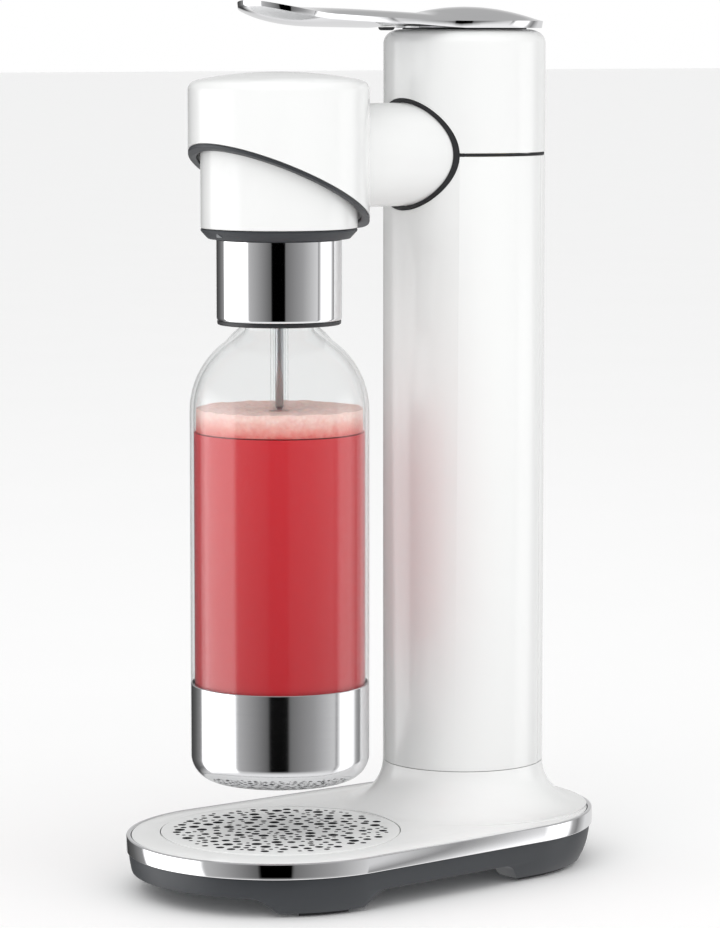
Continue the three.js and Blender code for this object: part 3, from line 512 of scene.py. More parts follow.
white_gloss = make_white_gloss()
slate = make_slate("slate_plastic", shade(0.026, 0.029, 0.034), shade(0.036, 0.04, 0.046))
pale_slate = make_slate("pale_slate", shade(0.2, 0.21, 0.22), shade(0.26, 0.27, 0.28))
rubber = make_rubber()
black_plastic = make_black_plastic()
chrome = make_chrome()
brushed_steel = make_brushed_steel()
plain_steel = make_plain_steel()
brass = make_brass()
cylinder_paint = make_cylinder_paint()
clear_plastic = make_clear_plastic()
drink_red = make_drink()
froth_pink = make_froth()

# -------------------- base


def base_outline(node, z, filled=True):
    """The stand's outline at height z, two round ends joined by straight sides, fitted to a CAD node."""
    low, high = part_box(node)
    front, rear = high.x, high.x - 2.2 * MM
    piece = added(bpy.ops.mesh.primitive_circle_add, vertices=STEPS + 32, radius=front,
                  fill_type="NGON" if filled else "NOTHING", location=(0, low.y + front, z))
    settle()
    with editing(piece):
        choose(piece, "verts", lambda v: v.co.y > low.y + front - MM / 2)
        bpy.ops.transform.translate(value=(0, high.y - rear - low.y - front, 0))
        bpy.ops.transform.resize(value=(rear / front, rear / front, 1),
                                 center_override=(0, high.y - rear, z))
    return piece


def stood_up(node, z, levels):
    """A closed solid on the stand's outline: each level is (height above the last, inset)."""
    low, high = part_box(node)
    width, length = high.x, (high.y - low.y) / 2
    piece = base_outline(node, z)
    with editing(piece, "FACE"):
        choose_all()
        for up, inward in levels:
            z += up
            pulled(0, 0, up)
            if inward:
                bpy.ops.transform.resize(value=(1 - inward / width, 1 - inward / length, 1),
                                         center_override=(0, middle_y, z))
    return clean(piece)


def make_underbase():
    """The dark tray under the stand: it leans in towards the ground and is arched between its four feet."""
    node = "underbase"
    low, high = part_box(node)
    piece = base_outline(node, high.z)
    with editing(piece, "FACE"):
        choose_all()
        z, width_above = high.z, 1.0
        for down, width in ((4, 0.993), (4, 0.983), (4, 0.967), (high.z / MM - low.z / MM - 12, 0.942)):
            z -= down * MM
            pulled(0, 0, -down * MM)
            spread = width / width_above
            long = 1 - (1 - spread) * high.x / high.y
            bpy.ops.transform.resize(value=(spread, long, 1), center_override=(0, middle_y, z))
            width_above = width
    clean(piece)
    across = arch((-46 * MM, 36 * MM), (-58 * MM, 43.6 * MM), arch_top, "X")
    along = arch((-49 * MM, 49 * MM), (-54 * MM, 54 * MM), arch_top, "Y")
    cut(piece, across, along)
    tray = base_outline(node, high.z + MM)
    with editing(tray, "FACE"):
        choose_all()
        bpy.ops.transform.resize(value=(0.94, 0.967, 1), center_override=(0, middle_y, high.z))
        pulled(0, 0, arch_top - high.z + MM)
    cut(piece, clean(tray))
    rounded(piece, 0.7 * MM, 2, 50)
    done(piece, "underbase_shell", "stand", slate, [node], 30)


def arch(top_span, ground_span, top, way):
    """The opening between two feet, as a tool that runs right through the stand along X or Y."""
    deep = 2 * cad_high.y
    piece = block((-deep, -0.5, -2 * MM), (deep, 0.5, top))
    with editing(piece):
        for side, here, there in ((-1, top_span[0], ground_span[0]), (1, top_span[1], ground_span[1])):
            choose(piece, "verts", lambda v: v.co.y * side > 0 and v.co.z > 0)
            bpy.ops.transform.translate(value=(0, here - side * 0.5, 0))
            choose(piece, "verts", lambda v: v.co.y * side > 0 and v.co.z < 0)
            bpy.ops.transform.translate(value=(0, there - side * 0.5, 0))
        choose(piece, "edges", lambda e: all(v.co.z > 0 for v in e.verts)
               and abs(e.verts[0].co.y - e.verts[1].co.y) < 1e-6)
        bpy.ops.mesh.bevel(offset=4 * MM, segments=6, affect="EDGES")
    if way == "Y":
        piece.rotation_euler = (0, 0, pi / 2)
        select_only(piece)
        settle()
    return piece


def make_trim_band():
    node = "base_trim_band"
    low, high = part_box(node)
    piece = base_outline(node, low.z, filled=False)
    with editing(piece, "EDGE"):
        choose_all()
        bpy.ops.mesh.extrude_edges_move(TRANSFORM_OT_translate={"value": (0, 0, high.z - low.z)})
    clean(piece)
    modified(piece, "SOLIDIFY", thickness=2.1 * MM, offset=-1)
    rounded(piece, 0.5 * MM, 3)
    done(piece, "base_band", "stand", chrome, [node], 40)


def make_base_top():
    """The white plate, crowned a little, with the flare that grows out of it into the column's foot."""
    node = "base_top"
    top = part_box(node)[1].z
    edge_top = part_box("base_trim_band")[1].z
    plate_low = edge_top - 3.7 * MM
    crown_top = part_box("drip_grille")[1].z
    piece = stood_up(node, plate_low, [(edge_top - plate_low - 0.5 * MM, 0), (0.35 * MM, 0.15 * MM),
                                       (0.15 * MM, 0.35 * MM), (0.6 * MM, 9 * MM),
                                       (crown_top - edge_top - 0.6 * MM, 20 * MM)])
    spread, rise = 22 * MM, top - crown_top
    curve = [(column_radius + spread * (1 - sin(t)), crown_top + rise * (1 - cos(t)))
             for t in (i / 16 * pi / 2 for i in range(17))]
    flare = spun([(0, plate_low + MM), (curve[0][0], plate_low + MM), *curve, (0, top)], column_y)
    boolean(flare, stood_up(node, plate_low, [(0.1, 0)]), "INTERSECT")
    boolean(piece, flare, "UNION")
    grille = radius_of("drip_grille")
    cut(piece,
        rod(grille + 0.45 * MM, (0, bottle_y, edge_top - 2 * MM), 0.1, sides=STEPS),
        rod(grille - 3 * MM, (0, bottle_y, 0), 0.1, sides=STEPS),
        rod(column_radius - wall, (0, column_y, 0), 0.1, sides=STEPS))
    done(piece, "base_plate", "stand", white_gloss, [node], 24)


def grille_holes(reach):
    """Places and radii of round holes of mixed sizes, thrown at random but never crowded."""
    rng = random.Random(11)
    holes = []
    for radius in [2.5 * MM] * 34 + [2.0 * MM] * 60 + [1.5 * MM] * 80 + [1.05 * MM] * 90:
        for _ in range(120):
            far = reach * sqrt(rng.random())
            turn = rng.random() * 2 * pi
            spot = Vector((far * cos(turn), bottle_y + far * sin(turn), 0))
            if far + radius > reach:
                continue
            if all((spot - other).length > radius + size + 1.05 * MM for other, size in holes):
                holes.append((spot, radius))
                break
    return holes


def make_drip_grille():
    node = "drip_grille"
    low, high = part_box(node)
    radius = radius_of(node)
    piece = spun([(0, low.z), (radius - 0.3 * MM, low.z), (radius, low.z + 0.3 * MM),
                  *arc((radius - 0.4 * MM, high.z - 0.4 * MM), 0.4 * MM, 0, 90, 3), (0, high.z)], bottle_y)
    drills = []
    for spot, size in grille_holes(radius - 5 * MM):
        drills.append(rod(size, spot + Vector((0, 0, low.z - MM)), 0.004, sides=18))
    select_only(*drills)
    bpy.ops.object.join()
    boolean(piece, drills[0], "DIFFERENCE")
    done(piece, "grille_disc", "drip_grille", white_gloss, [node], 30)
    # Painted shade: the hole walls get the black finish so that the holes look dark, as if in shadow.
    piece.data.materials.append(black_plastic)
    for face in piece.data.polygons:
        from_axis = hypot(face.center.x, face.center.y - bottle_y)
        if abs(face.normal.z) < 0.1 and from_axis < radius - 2 * MM:
            face.material_index = 1


def make_drip_bowl():
    node = "drip_bowl"
    low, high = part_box(node)
    outer = radius_of(node)
    inner = outer - 3.3 * MM
    skin = 1.6 * MM
    piece = spun([(0, low.z), *arc((inner - 3 * MM, low.z + 3 * MM), 3 * MM, -90, 0, 6),
                  (inner, high.z - 0.8 * MM), (outer, high.z - 0.8 * MM), (outer, high.z),
                  (inner - skin, high.z),
                  *arc((inner - skin - 2 * MM, low.z + skin + 2 * MM), 2 * MM, 0, -90, 6),
                  (0, low.z + skin)], bottle_y)
    done(piece, "drip_tray_bowl", "drip_bowl", black_plastic, [node])


# -------------------- column


def neck_oval(extra, start_y, stop_y, sides=96):
    """An oval bar through the neck, as wide and high as the neck plus a little all round."""
    half_height = neck_half_height + extra
    piece = rod(half_height, (0, start_y, neck_z), stop_y - start_y, "Y", sides)
    piece.scale = ((neck_half_width + extra) / half_height, 1, 1)
    select_only(piece)
    settle()
    return piece


def column_wall(node, start, turn):
    """A stretch of the column's tube between two angles."""
    low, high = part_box(node)
    return tube(column_radius - wall, column_radius, low.z, high.z, column_y,
                round(STEPS * turn / 360), start, turn)


def make_column():
    opening = 60                 # half the angle of the rear cover
    split = degrees(0.3 * MM / column_radius)
    shell = column_wall("column_shell", 90 + opening, 360 - 2 * opening)
    cut(shell, neck_oval(gasket_reach + play, bottle_y, column_y))
    rounded(shell, 0.25 * MM, 2)
    done(shell, "column_front", "stand", white_gloss, ["column_shell"])
    cover = column_wall("rear_cover", 90 - opening + split, 2 * (opening - split))
    rounded(cover, 0.35 * MM, 3)
    done(cover, "rear_cover_panel", "rear_cover", white_gloss, ["rear_cover"])


def make_upper_column():
    node = "upper_column"
    low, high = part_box(node)
    r = column_radius
    drop = shoulder_drop
    shoulder = [(r - (r - deck_radius) * (1 - cos(t)) ** 1.1, high.z - drop + drop * sin(t) ** 0.95)
                for t in (i / 14 * pi / 2 for i in range(15))]
    piece = spun([(r - wall, low.z), (r - 0.25 * MM, low.z), (r, low.z + 0.25 * MM), *shoulder,
                  (deck_radius, high.z - wall), (r - 5.6 * MM, high.z - wall - 2 * MM),
                  (r - wall, high.z - drop - MM)], column_y)
    cut(piece, neck_oval(gasket_reach + play, bottle_y, column_y))
    done(piece, "column_top", "stand", white_gloss, [node])


def make_gaskets():
    inner = column_radius - wall + 0.2 * MM
    low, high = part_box("column_seam_gasket")
    seam = tube(inner, column_radius - 0.4 * MM, low.z, high.z, column_y)
    cut(seam, neck_oval(gasket_reach + play, bottle_y, column_y))
    done(seam, "seam_gasket", "stand", rubber, ["column_seam_gasket"])
    low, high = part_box("neck_gasket")
    ring = tube(inner, column_radius + 0.4 * MM, low.z - MM, high.z + MM, column_y)
    boolean(ring, neck_oval(gasket_reach, bottle_y, column_y), "INTERSECT")
    cut(ring, neck_oval(play, bottle_y - 0.01, column_y + 0.01))
    done(ring, "neck_seal", "stand", rubber, ["neck_gasket"])


def make_lever_hub():
    """The dark cup in the column's top, with the two cheeks that hold the hinge pin."""
    node = "lever_bracket"
    low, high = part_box(node)
    outer = radius_of(node)
    pin_low, pin_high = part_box("lever_hinge_pin")
    piece = spun([(9 * MM, low.z), (outer, low.z), (outer, high.z - 0.4 * MM), (outer - 0.4 * MM, high.z),
                  (outer - 2.2 * MM, high.z), (outer - 2.2 * MM, low.z + 2 * MM), (9 * MM, low.z + 2 * MM)],
                 column_y, 96)
    for side in (-1, 1):
        x = sorted((side * 13 * MM, side * 16.5 * MM))
        cheek = block((x[0], pin_low.y - 3 * MM, low.z + MM),
                      (x[1], pin_high.y + 2 * MM, pin_high.z + 1.5 * MM))
        boolean(piece, cheek, "UNION")
    done(piece, "lever_hub", "stand", black_plastic, [node])


# -------------------- head


def below_sweep(drop):
    """A big block whose top is the head's sloping lower edge, moved down by a drop."""
    size = 8 * head_radius
    piece = added(bpy.ops.mesh.primitive_cube_add, size=size, location=(0, 0, -size / 2))
    settle()
    piece.rotation_euler = (-atan(trim_slope), 0, 0)
    piece.location = (0, bottle_y, trim_z - drop)
    settle()
    return piece


def dome(radius, top, thickness=0.0):
    """The head's rounded top as a half outline, from the axis down to the wall."""
    shoulder_z = top - 8.8 * MM
    r = radius - thickness
    crown = [(0.88 * r * i / 8, top - thickness - 3.6 * MM * (i / 8) ** 2) for i in range(9)]
    edge = arc((r - 4.6 * MM, shoulder_z + 0.2 * MM - thickness * 0.5), 4.6 * MM, 62, 0, 6)
    return [*crown, *edge]


def pivot_bore(reach):
    """A tool for the two sleeve pins' bores, as far out as reach on both sides."""
    low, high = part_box("sleeve_pin_right")
    pin = middle_of("sleeve_pin_right")
    return rod((high.z - low.z) / 2 + play, (-reach, pin.y, pin.z), 2 * reach, "X", 24)


def make_head():
    node = "head_shell"
    low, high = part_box(node)
    r, skin = head_radius, thin_wall
    piece = spun([*dome(r, high.z), (r, low.z - 5 * MM), (r - skin, low.z - 5 * MM),
                  *reversed(dome(r, high.z, skin))], bottle_y)
    cut(piece, below_sweep(0))
    neck = neck_oval(0, bottle_y + 20 * MM, column_y, 128)
    cut(neck, rod(r - skin, (0, bottle_y, 0), 0.6, sides=STEPS),
        rod(column_radius - wall - 3 * MM, (0, column_y, 0), 0.6, sides=STEPS))
    boolean(piece, neck, "UNION")
    bore = neck_oval(-wall, bottle_y + 20 * MM, column_y)
    cut(piece, bore, pivot_bore(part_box("sleeve_pin_right")[1].x + play))
    done(piece, "head_cover", "stand", white_gloss, [node])


def make_head_trim():
    node = "head_trim"
    low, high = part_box(node)
    outer = radius_of(node)
    piece = tube(outer - 3.9 * MM, outer, low.z - 0.01, high.z + 0.01, bottle_y)
    boolean(piece, below_sweep(0.3 * MM), "INTERSECT")
    cut(piece, below_sweep(1.9 * MM))
    rounded(piece, 0.3 * MM, 2, 40)
    done(piece, "head_edge_trim", "stand", slate, [node])


def make_sleeve():
    node = "tilt_sleeve"
    low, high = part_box(node)
    r, skin, mouth = sleeve_radius, thin_wall, 13 * MM
    piece = spun([(r - skin, low.z), *arc((r - 0.6 * MM, low.z + 0.6 * MM), 0.6 * MM, -90, 0, 4),
                  *arc((r - 2 * MM, high.z - 2 * MM), 2 * MM, 0, 90, 6), (mouth, high.z),
                  (mouth, high.z - skin), (r - skin, high.z - skin)], bottle_y)
    cut(piece, pivot_bore(2 * r))
    done(piece, "sleeve_shell", "sleeve", white_gloss, [node])


# -------------------- cap


def make_cap_ring():
    """The dark ring under the sleeve: it tapers in, and has a slot at the back for the vent loop's strap."""
    node = "cap_ring"
    low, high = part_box(node)
    r, foot = radius_of(node), radius_of(node) - 3 * MM
    bore = radius_of("cap_collar") - 0.8 * MM
    piece = spun([(bore, low.z), (foot - 0.5 * MM, low.z), (foot + 0.1 * MM, low.z + 0.5 * MM),
                  (r - 0.2 * MM, high.z - 1.2 * MM), (r, high.z - 0.7 * MM), (r - 0.2 * MM, high.z),
                  (bore, high.z)], bottle_y)
    loop_half = radius_of("release_lever") + 0.4 * MM
    cut(piece, block((-loop_half, bottle_y + bore + 1.7 * MM, low.z - MM),
                     (loop_half, bottle_y + r + MM, high.z + MM)))
    done(piece, "cap_rim", "cap", slate, [node])


def make_lock_mark():
    """The small raised triangle on the ring's front that shows where the cap lines up."""
    low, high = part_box("cap_ring")
    r = radius_of("cap_ring")
    mark = added(bpy.ops.mesh.primitive_circle_add, vertices=3, radius=2.1 * MM, fill_type="NGON")
    with editing(mark, "FACE"):
        choose_all()
        pulled(0, 0, 0.35 * MM)
    mark.rotation_euler = (pi / 2 + radians(40), 0, 0)
    mark.scale = (1, 0.7, 1)
    mark.location = (0, bottle_y - r + 1.35 * MM, (low.z + high.z) / 2 - 0.2 * MM)
    select_only(mark)
    settle()
    clean(mark)
    done(mark, "lock_mark", "cap", pale_slate)


def make_collar():
    node = "cap_collar"
    low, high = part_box(node)
    r, skin = radius_of(node), 0.8 * MM
    piece = spun([(r - skin, low.z), (r - 0.5 * MM, low.z), (r - 0.1 * MM, low.z + 0.5 * MM),
                  (r, low.z + 1.2 * MM), (r, high.z - 0.4 * MM), (r - 0.3 * MM, high.z),
                  (r - skin, high.z)], bottle_y, 160)
    done(piece, "collar_tube", "cap", chrome, [node])


def make_core():
    """The cap's moulded core: a lip below the collar, and a threaded throat that takes the bottle's neck."""
    node = "cap_core"
    low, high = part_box(node)
    lip = radius_of("cap_collar") - 0.4 * MM
    waist = radius_of("cap_collar") - 1.1 * MM
    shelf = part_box("cap_ring")[1].z + 0.3 * MM
    wide = radius_of(node)
    throat = 19.1 * MM
    hole = radius_of("carbonating_tube") + 0.3 * MM
    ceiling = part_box("cap_seal")[1].z + 0.3 * MM
    lip_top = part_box("cap_collar")[0].z - 0.3 * MM
    ribs = []
    z = low.z + 5 * MM
    while z < ceiling - 5 * MM:
        ribs += [(throat, z), (throat - 0.7 * MM, z + 0.8 * MM), (throat, z + 1.6 * MM)]
        z += 4.2 * MM
    piece = spun([(throat + MM, low.z), (lip - MM, low.z),
                  *arc((lip - 0.8 * MM, low.z + 0.8 * MM), 0.8 * MM, -70, 0, 3),
                  (lip, lip_top), (waist, lip_top), (waist, shelf), (wide, shelf), (wide, high.z - MM),
                  (wide - MM, high.z), (hole, high.z), (hole, ceiling), (throat, ceiling),
                  *reversed(ribs), (throat, low.z + MM)], bottle_y, 96)
    for valve in ("vent_valve", "relief_valve"):
        cut(piece, rod(radius_of(valve) + play, (0, middle_of(valve).y, ceiling - MM), 0.1, sides=24))
    done(piece, "cap_throat", "cap", black_plastic, [node])


def make_vent_loop():
    """The round pull loop behind the cap, on a short strap that reaches its hinge pin."""
    node = "release_lever"
    low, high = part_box(node)
    half = radius_of(node)
    pin = middle_of("release_lever_pin")
    pin.x = 0
    outer = 12.2 * MM
    centre = Vector((0, high.y - outer, low.z + outer))
    band = 2.6 * MM
    piece = rod(outer, (-half, centre.y, centre.z), 2 * half, "X", 96)
    rounded(piece, 0.8 * MM, 4)
    strap = rod(1.8 * MM, (-half, pin.y, pin.z), 2 * half, "X", 32)
    web = block((-half, pin.y, pin.z - 1.6 * MM), (half, centre.y - 3 * MM, pin.z + 1.6 * MM))
    with editing(web):
        choose(web, "verts", lambda v: v.co.y > pin.y + MM and v.co.z > pin.z)
        bpy.ops.transform.translate(value=(0, 0, centre.z + outer - 1.2 * MM - pin.z - 1.6 * MM))
        choose(web, "verts", lambda v: v.co.y > pin.y + MM and v.co.z < pin.z)
        bpy.ops.transform.translate(value=(0, -outer + 4 * MM, centre.z + 4 * MM - pin.z + 1.6 * MM))
    boolean(strap, web, "UNION")
    rounded(strap, 0.5 * MM, 2, 50)
    boolean(piece, strap, "UNION")
    hole = rod(outer - band, (-half - MM, centre.y, centre.z), 2 * half + 2 * MM, "X", 96)
    flare = []
    for side in (-1, 1):
        chamfer = added(bpy.ops.mesh.primitive_cone_add, vertices=96, radius1=outer - band + 0.9 * MM,
                        radius2=outer - band - 0.3 * MM, depth=1.2 * MM,
                        location=(side * (half - 0.5 * MM), centre.y, centre.z),
                        rotation=(0, -side * pi / 2, 0))
        settle()
        flare.append(chamfer)
    cut(piece, hole, *flare, rod(1.1 * MM, (-half - MM, pin.y, pin.z), 2 * half + 2 * MM, "X", 24))
    done(piece, "vent_loop", "release_lever", slate, [node])


def make_tube():
    node = "carbonating_tube"
    low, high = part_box(node)
    r, skin = radius_of(node), 1.2 * MM
    outer = spun([(r - skin, low.z), (r - 0.2 * MM, low.z), (r, low.z + 0.2 * MM), (r, high.z),
                  (r - skin, high.z)], bottle_y, FINE)
    done(outer, "dip_tube", "cap", clear_plastic, [node])
    low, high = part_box("nozzle_rod")
    r = radius_of("nozzle_rod")
    inner = spun([(0, low.z), (0.5 * r, low.z), (r, low.z + 1.5 * MM), (r, high.z - 0.4 * MM),
                  (r - 0.4 * MM, high.z), (0, high.z)], bottle_y, 32)
    done(inner, "nozzle_stem", "cap", plain_steel, ["nozzle_rod"])


# -------------------- bottle


def shoulder_outline(wide, rise, narrow, top, count=14):
    """From the bottle's full width: an arc inwards, then a short slope into the neck."""
    start_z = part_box("bottle_shell")[1].z - neck_in_cap - shoulder_height
    bend = radians(55)
    points = [(wide - rise * (1 - cos(bend * i / count)), start_z + rise * sin(bend * i / count))
              for i in range(count + 1)]
    return [*points, (narrow + 3.4 * MM, top - 3.2 * MM), (narrow + 1.2 * MM, top - 1.3 * MM),
            (narrow + 0.3 * MM, top - 0.4 * MM), (narrow, top)]


def make_bottle():
    node = "bottle_shell"
    low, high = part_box(node)
    wide = bottle_radius
    lower = wide - 0.9 * MM
    skin = 0.8 * MM
    inner = lower - skin
    neck = bottle_neck
    bore = neck - neck_wall
    neck_low = high.z - neck_in_cap - MM / 2
    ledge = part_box("bottle_base_cup")[1].z + play
    outside = [(0, low.z), *arc((lower - 9 * MM, low.z + 9.5 * MM), 9 * MM, -90, 0, 12),
               (lower, ledge), (wide - 0.2 * MM, ledge), (wide, ledge + 0.2 * MM),
               *shoulder_outline(wide, shoulder_arc, neck, neck_low)]
    threads = []
    for turn in range(3):
        z = neck_low + (7 + 5 * turn) * MM
        crest = neck + 0.9 * MM
        threads += [(neck, z), (crest, z + 0.8 * MM), (crest, z + 1.3 * MM), (neck, z + 2.1 * MM)]
    mouth = [(neck, high.z - 0.5 * MM), (neck - 0.5 * MM, high.z), (bore + play, high.z),
             (bore, high.z - play)]
    inner_arc = shoulder_arc - (wide - inner)
    inside = [*reversed(shoulder_outline(inner, inner_arc, bore, neck_low - neck_wall)),
              *arc((inner - 9 * MM, low.z + skin + 9.4 * MM), 9 * MM, 0, -90, 12), (0, low.z + skin)]
    piece = spun([*outside, *threads, *mouth, *inside], bottle_y)
    done(piece, "bottle_body", "bottle", clear_plastic, [node], 30)


def make_cup():
    node = "bottle_base_cup"
    low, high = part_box(node)
    r, skin, corner = radius_of(node), 0.6 * MM, 12 * MM
    foot = [(0, low.z + 1.2 * MM), (r - corner - 6 * MM, low.z + 1.2 * MM),
            (r - corner - 4.4 * MM, low.z + 0.2 * MM), (r - corner - 3.4 * MM, low.z)]
    outer = arc((r - corner, low.z + corner), corner, -84, 0, 20)
    piece = spun([*foot, *outer, (r, high.z - 0.3 * MM), (r - 0.3 * MM, high.z), (r - skin, high.z),
                  *arc((r - corner, low.z + corner), corner - skin, 0, -84, 20),
                  (0, low.z + 1.2 * MM + skin)], bottle_y, 160)
    done(piece, "steel_cup", "bottle", brushed_steel, [node], 30)


def make_drink_body():
    node = "drink"
    low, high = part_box(node)
    r = radius_of(node)
    piece = spun([(0, low.z), *arc((r - 9 * MM, low.z + 9.4 * MM), 9 * MM, -90, 0, 12),
                  (r, high.z - 0.2 * MM), (0, high.z)], bottle_y)
    done(piece, "drink_body", "bottle", drink_red, [node])


def make_froth_ring():
    """The bubbly head on the drink, with a lumpy top and a ragged edge where it meets the wall."""
    node = "drink_froth"
    low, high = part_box(node)
    r = radius_of(node)
    hole = radius_of("carbonating_tube") + 0.8 * MM
    rows = [(r - (r - hole) * i / 30, high.z - 1.6 * MM + 1.2 * MM * (1 - (i / 30)) ** 4) for i in range(31)]
    piece = spun([(hole, low.z), (r, low.z), (r, low.z + 0.3 * (high.z - low.z)),
                  (r, low.z + 0.7 * (high.z - low.z)), *rows], bottle_y)
    rng = random.Random(5)
    lumps = []
    for _ in range(150):
        far, turn = hole + (r - hole) * sqrt(rng.random()), rng.random() * 2 * pi
        place = Vector((far * cos(turn), bottle_y + far * sin(turn), 0))
        lumps.append((place, rng.uniform(1.2, 3.6) * MM))
    with editing(piece):
        choose(piece, "verts", lambda v: v.co.z > high.z - 1.7 * MM)
        mesh = bmesh.from_edit_mesh(piece.data)
        for vertex in mesh.verts:
            if vertex.select:
                spot = Vector((vertex.co.x, vertex.co.y, 0))
                lift = max(max(0, 1 - ((spot - place).length / size) ** 2) * size for place, size in lumps)
                vertex.co.z = min(high.z, vertex.co.z + 0.32 * lift)
        bmesh.update_edit_mesh(piece.data)
    done(piece, "froth_head", "bottle", froth_pink, [node], 60)


# -------------------- lever

disc_radius = 37.7 * MM
disc_dome, arm_crown, waist = 7.3 * MM, 3.9 * MM, 19.5 * MM
arm_slope, arm_curl, curl_from = 4.9 * MM, 4.7 * MM, 0.66
root_width, waist_at = 0.72, 0.45          # shares of the disc's radius and of the arm's length
lever_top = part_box("upper_column")[1].z + 3.5 * MM        # top edge of the disc
lever_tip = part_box("lever")[0].y
arm_root = column_y - 23.4 * MM
tip_radius = 22.5 * MM


def blend_up(a, b, soft):
    """The larger of two heights, with a soft change-over."""
    h = max(0.0, min(1.0, 0.5 + 0.5 * (a - b) / soft))
    return b + (a - b) * h + soft * h * (1 - h)


def along_arm(y):
    return min(1.0, max(0.0, (arm_root - y) / (arm_root - lever_tip)))


def lever_edge(y):
    """The height of the lever's top edge: level round the disc, a slow rise, and a curl at the tip."""
    t = along_arm(y)
    return lever_top + arm_slope * t + arm_curl * max(0.0, (t - curl_from) / (1 - curl_from)) ** 2


def lever_half(y):
    """Half the lever's width: disc, waist and round tip, with a fillet where the arm leaves the disc."""
    tip_centre = lever_tip + tip_radius
    disc = sqrt(max(0.0, disc_radius ** 2 - (y - column_y) ** 2))
    if y >= arm_root:
        return disc
    if y <= tip_centre:
        return sqrt(max(0.0, tip_radius ** 2 - (tip_centre - y) ** 2))
    t = (arm_root - y) / (arm_root - tip_centre)
    root = max(0.0, 1 - t / waist_at) ** 2
    tip = max(0.0, (t - waist_at) / (1 - waist_at)) ** 1.5
    arm = waist + (root_width * disc_radius - waist) * root + (tip_radius - waist) * tip
    return blend_up(disc, arm, 3 * MM)


def lever_ring(y):
    """One closed section across the lever at y: crowned top, square edge band, rounded underside."""
    half = max(lever_half(y), 0.05 * MM)
    edge = lever_edge(y)
    t = along_arm(y)
    crown = arm_crown * (1 - t ** 4)
    arm_half = max(min(half, root_width * disc_radius), MM / 2)
    columns = 20
    ring = []
    for i in range(columns + 1):
        x = half * sin(pi / 2 * (1 - 2 * i / columns))
        far = hypot(x, y - column_y) / disc_radius
        disc = lever_top + disc_dome * (1 - min(1.0, far) ** 2)
        z = edge + crown * max(0.0, 1 - (x / arm_half) ** 2)
        if y > arm_root:
            fade = max(0.0, 1 - (y - arm_root) / (14 * MM))
            z = lever_top + (z - lever_top) * fade
        ring.append(Vector((x, y, blend_up(disc, z, 1.6 * MM) if far < 1.02 else max(z, disc))))
    band = 2.9 * MM if y > arm_root else 2.2 * MM + 0.7 * MM * max(0.0, 1 - t / 0.2)
    ramp = min(1.0, max(0.0, (20 * MM - y) / (18 * MM)))
    belly = (1.2 + 3.6 * t) * MM * ramp * sqrt(max(0.0, 1 - t ** 8))
    for i in range(columns + 1):
        x = -half * sin(pi / 2 * (1 - 2 * i / columns)) * 0.965
        far = hypot(x, y - column_y)
        hollow = min(1.0, max(0.0, (35 * MM - far) / (3 * MM)))
        lift = (band - 0.1 * MM) * hollow + 1.9 * MM * hollow * max(0.0, 1 - (far / (30 * MM)) ** 2)
        across = x / half
        ring.append(Vector((x, y, edge - band - belly * (1 - across * across) + lift)))
    return ring


def make_lever():
    """The press lever: a low domed disc drawn out into a crowned arm that curls up at its tip."""
    rear = column_y + disc_radius
    tip_centre = lever_tip + tip_radius
    turns = [pi / 2 * i / 26 for i in range(27)]
    places = [column_y + disc_radius * sin(t) for t in reversed(turns)]
    places += [column_y - (column_y - arm_root) * i / 14 for i in range(1, 15)]
    places += [arm_root - (arm_root - tip_centre) * i / 44 for i in range(1, 45)]
    places += [tip_centre - tip_radius * sin(t) for t in turns[1:]]
    places[0] = rear - 0.01 * MM
    places[-1] = lever_tip + 0.01 * MM
    mesh = bmesh.new()
    rings = [[mesh.verts.new(point) for point in lever_ring(y)] for y in places]
    for here, there in zip(rings, rings[1:]):
        for i, corner in enumerate(here):
            j = (i + 1) % len(here)
            mesh.faces.new((corner, here[j], there[j], there[i]))
    mesh.faces.new(reversed(rings[0]))
    mesh.faces.new(rings[-1])
    data = bpy.data.meshes.new("lever")
    mesh.to_mesh(data)
    mesh.free()
    piece = linked("lever", data)
    clean(piece)
    rounded(piece, 0.35 * MM, 3, 55)
    done(piece, "press_lever_arm", "press_lever", chrome, ["lever"], 32)
    low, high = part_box("lever_plug")
    plug = spun([(0, low.z), *arc((2.5 * MM, low.z + 1.4 * MM), 1.4 * MM, -90, 0, 5), (4 * MM, high.z),
                 (0, high.z)], (low.y + high.y) / 2, 32)
    done(plug, "lever_screw_plug", "press_lever", rubber, ["lever_plug"])


# -------------------- inner pieces


def finish_inner_pieces():
    """The working parts inside keep their CAD shapes and get their real finishes."""
    finishes = {
        plain_steel: ["column_chassis", "valve_mount_plate", "cylinder_valve_pin", "valve_plunger",
                      "return_spring", "lever_hinge_pin", "lever_actuator", "head_frame", "gas_pipe",
                      "cap_latch_ring", "cap_inlet", "release_lever_pin", "vent_valve", "sleeve_pin_left",
                      "sleeve_pin_right", "valve_screw_1", "valve_screw_2",
                      *(f"base_screw_{i}" for i in range(1, 5))],
        brass: ["cylinder_valve", "valve_block", "injector", "relief_valve"],
        cylinder_paint: ["gas_cylinder"],
        black_plastic: ["cylinder_seat"],
        rubber: ["cylinder_seal", "injector_seal", "cap_seal",
                 *(f"foot_pad_{end}_{side}" for end in ("front", "rear") for side in ("left", "right"))],
    }
    for material, names in finishes.items():
        for name in names:
            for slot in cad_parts[name].material_slots:
                slot.material = material


make_underbase()
make_trim_band()
make_base_top()
make_drip_grille()
make_drip_bowl()
make_column()
make_upper_column()
make_gaskets()
make_lever_hub()
make_head()
make_head_trim()
make_sleeve()
make_cap_ring()
make_lock_mark()
make_collar()
make_core()
make_vent_loop()
make_tube()
make_bottle()
make_cup()
make_drink_body()
make_froth_ring()
make_lever()
finish_inner_pieces()

# -------------------- floor, lights and camera

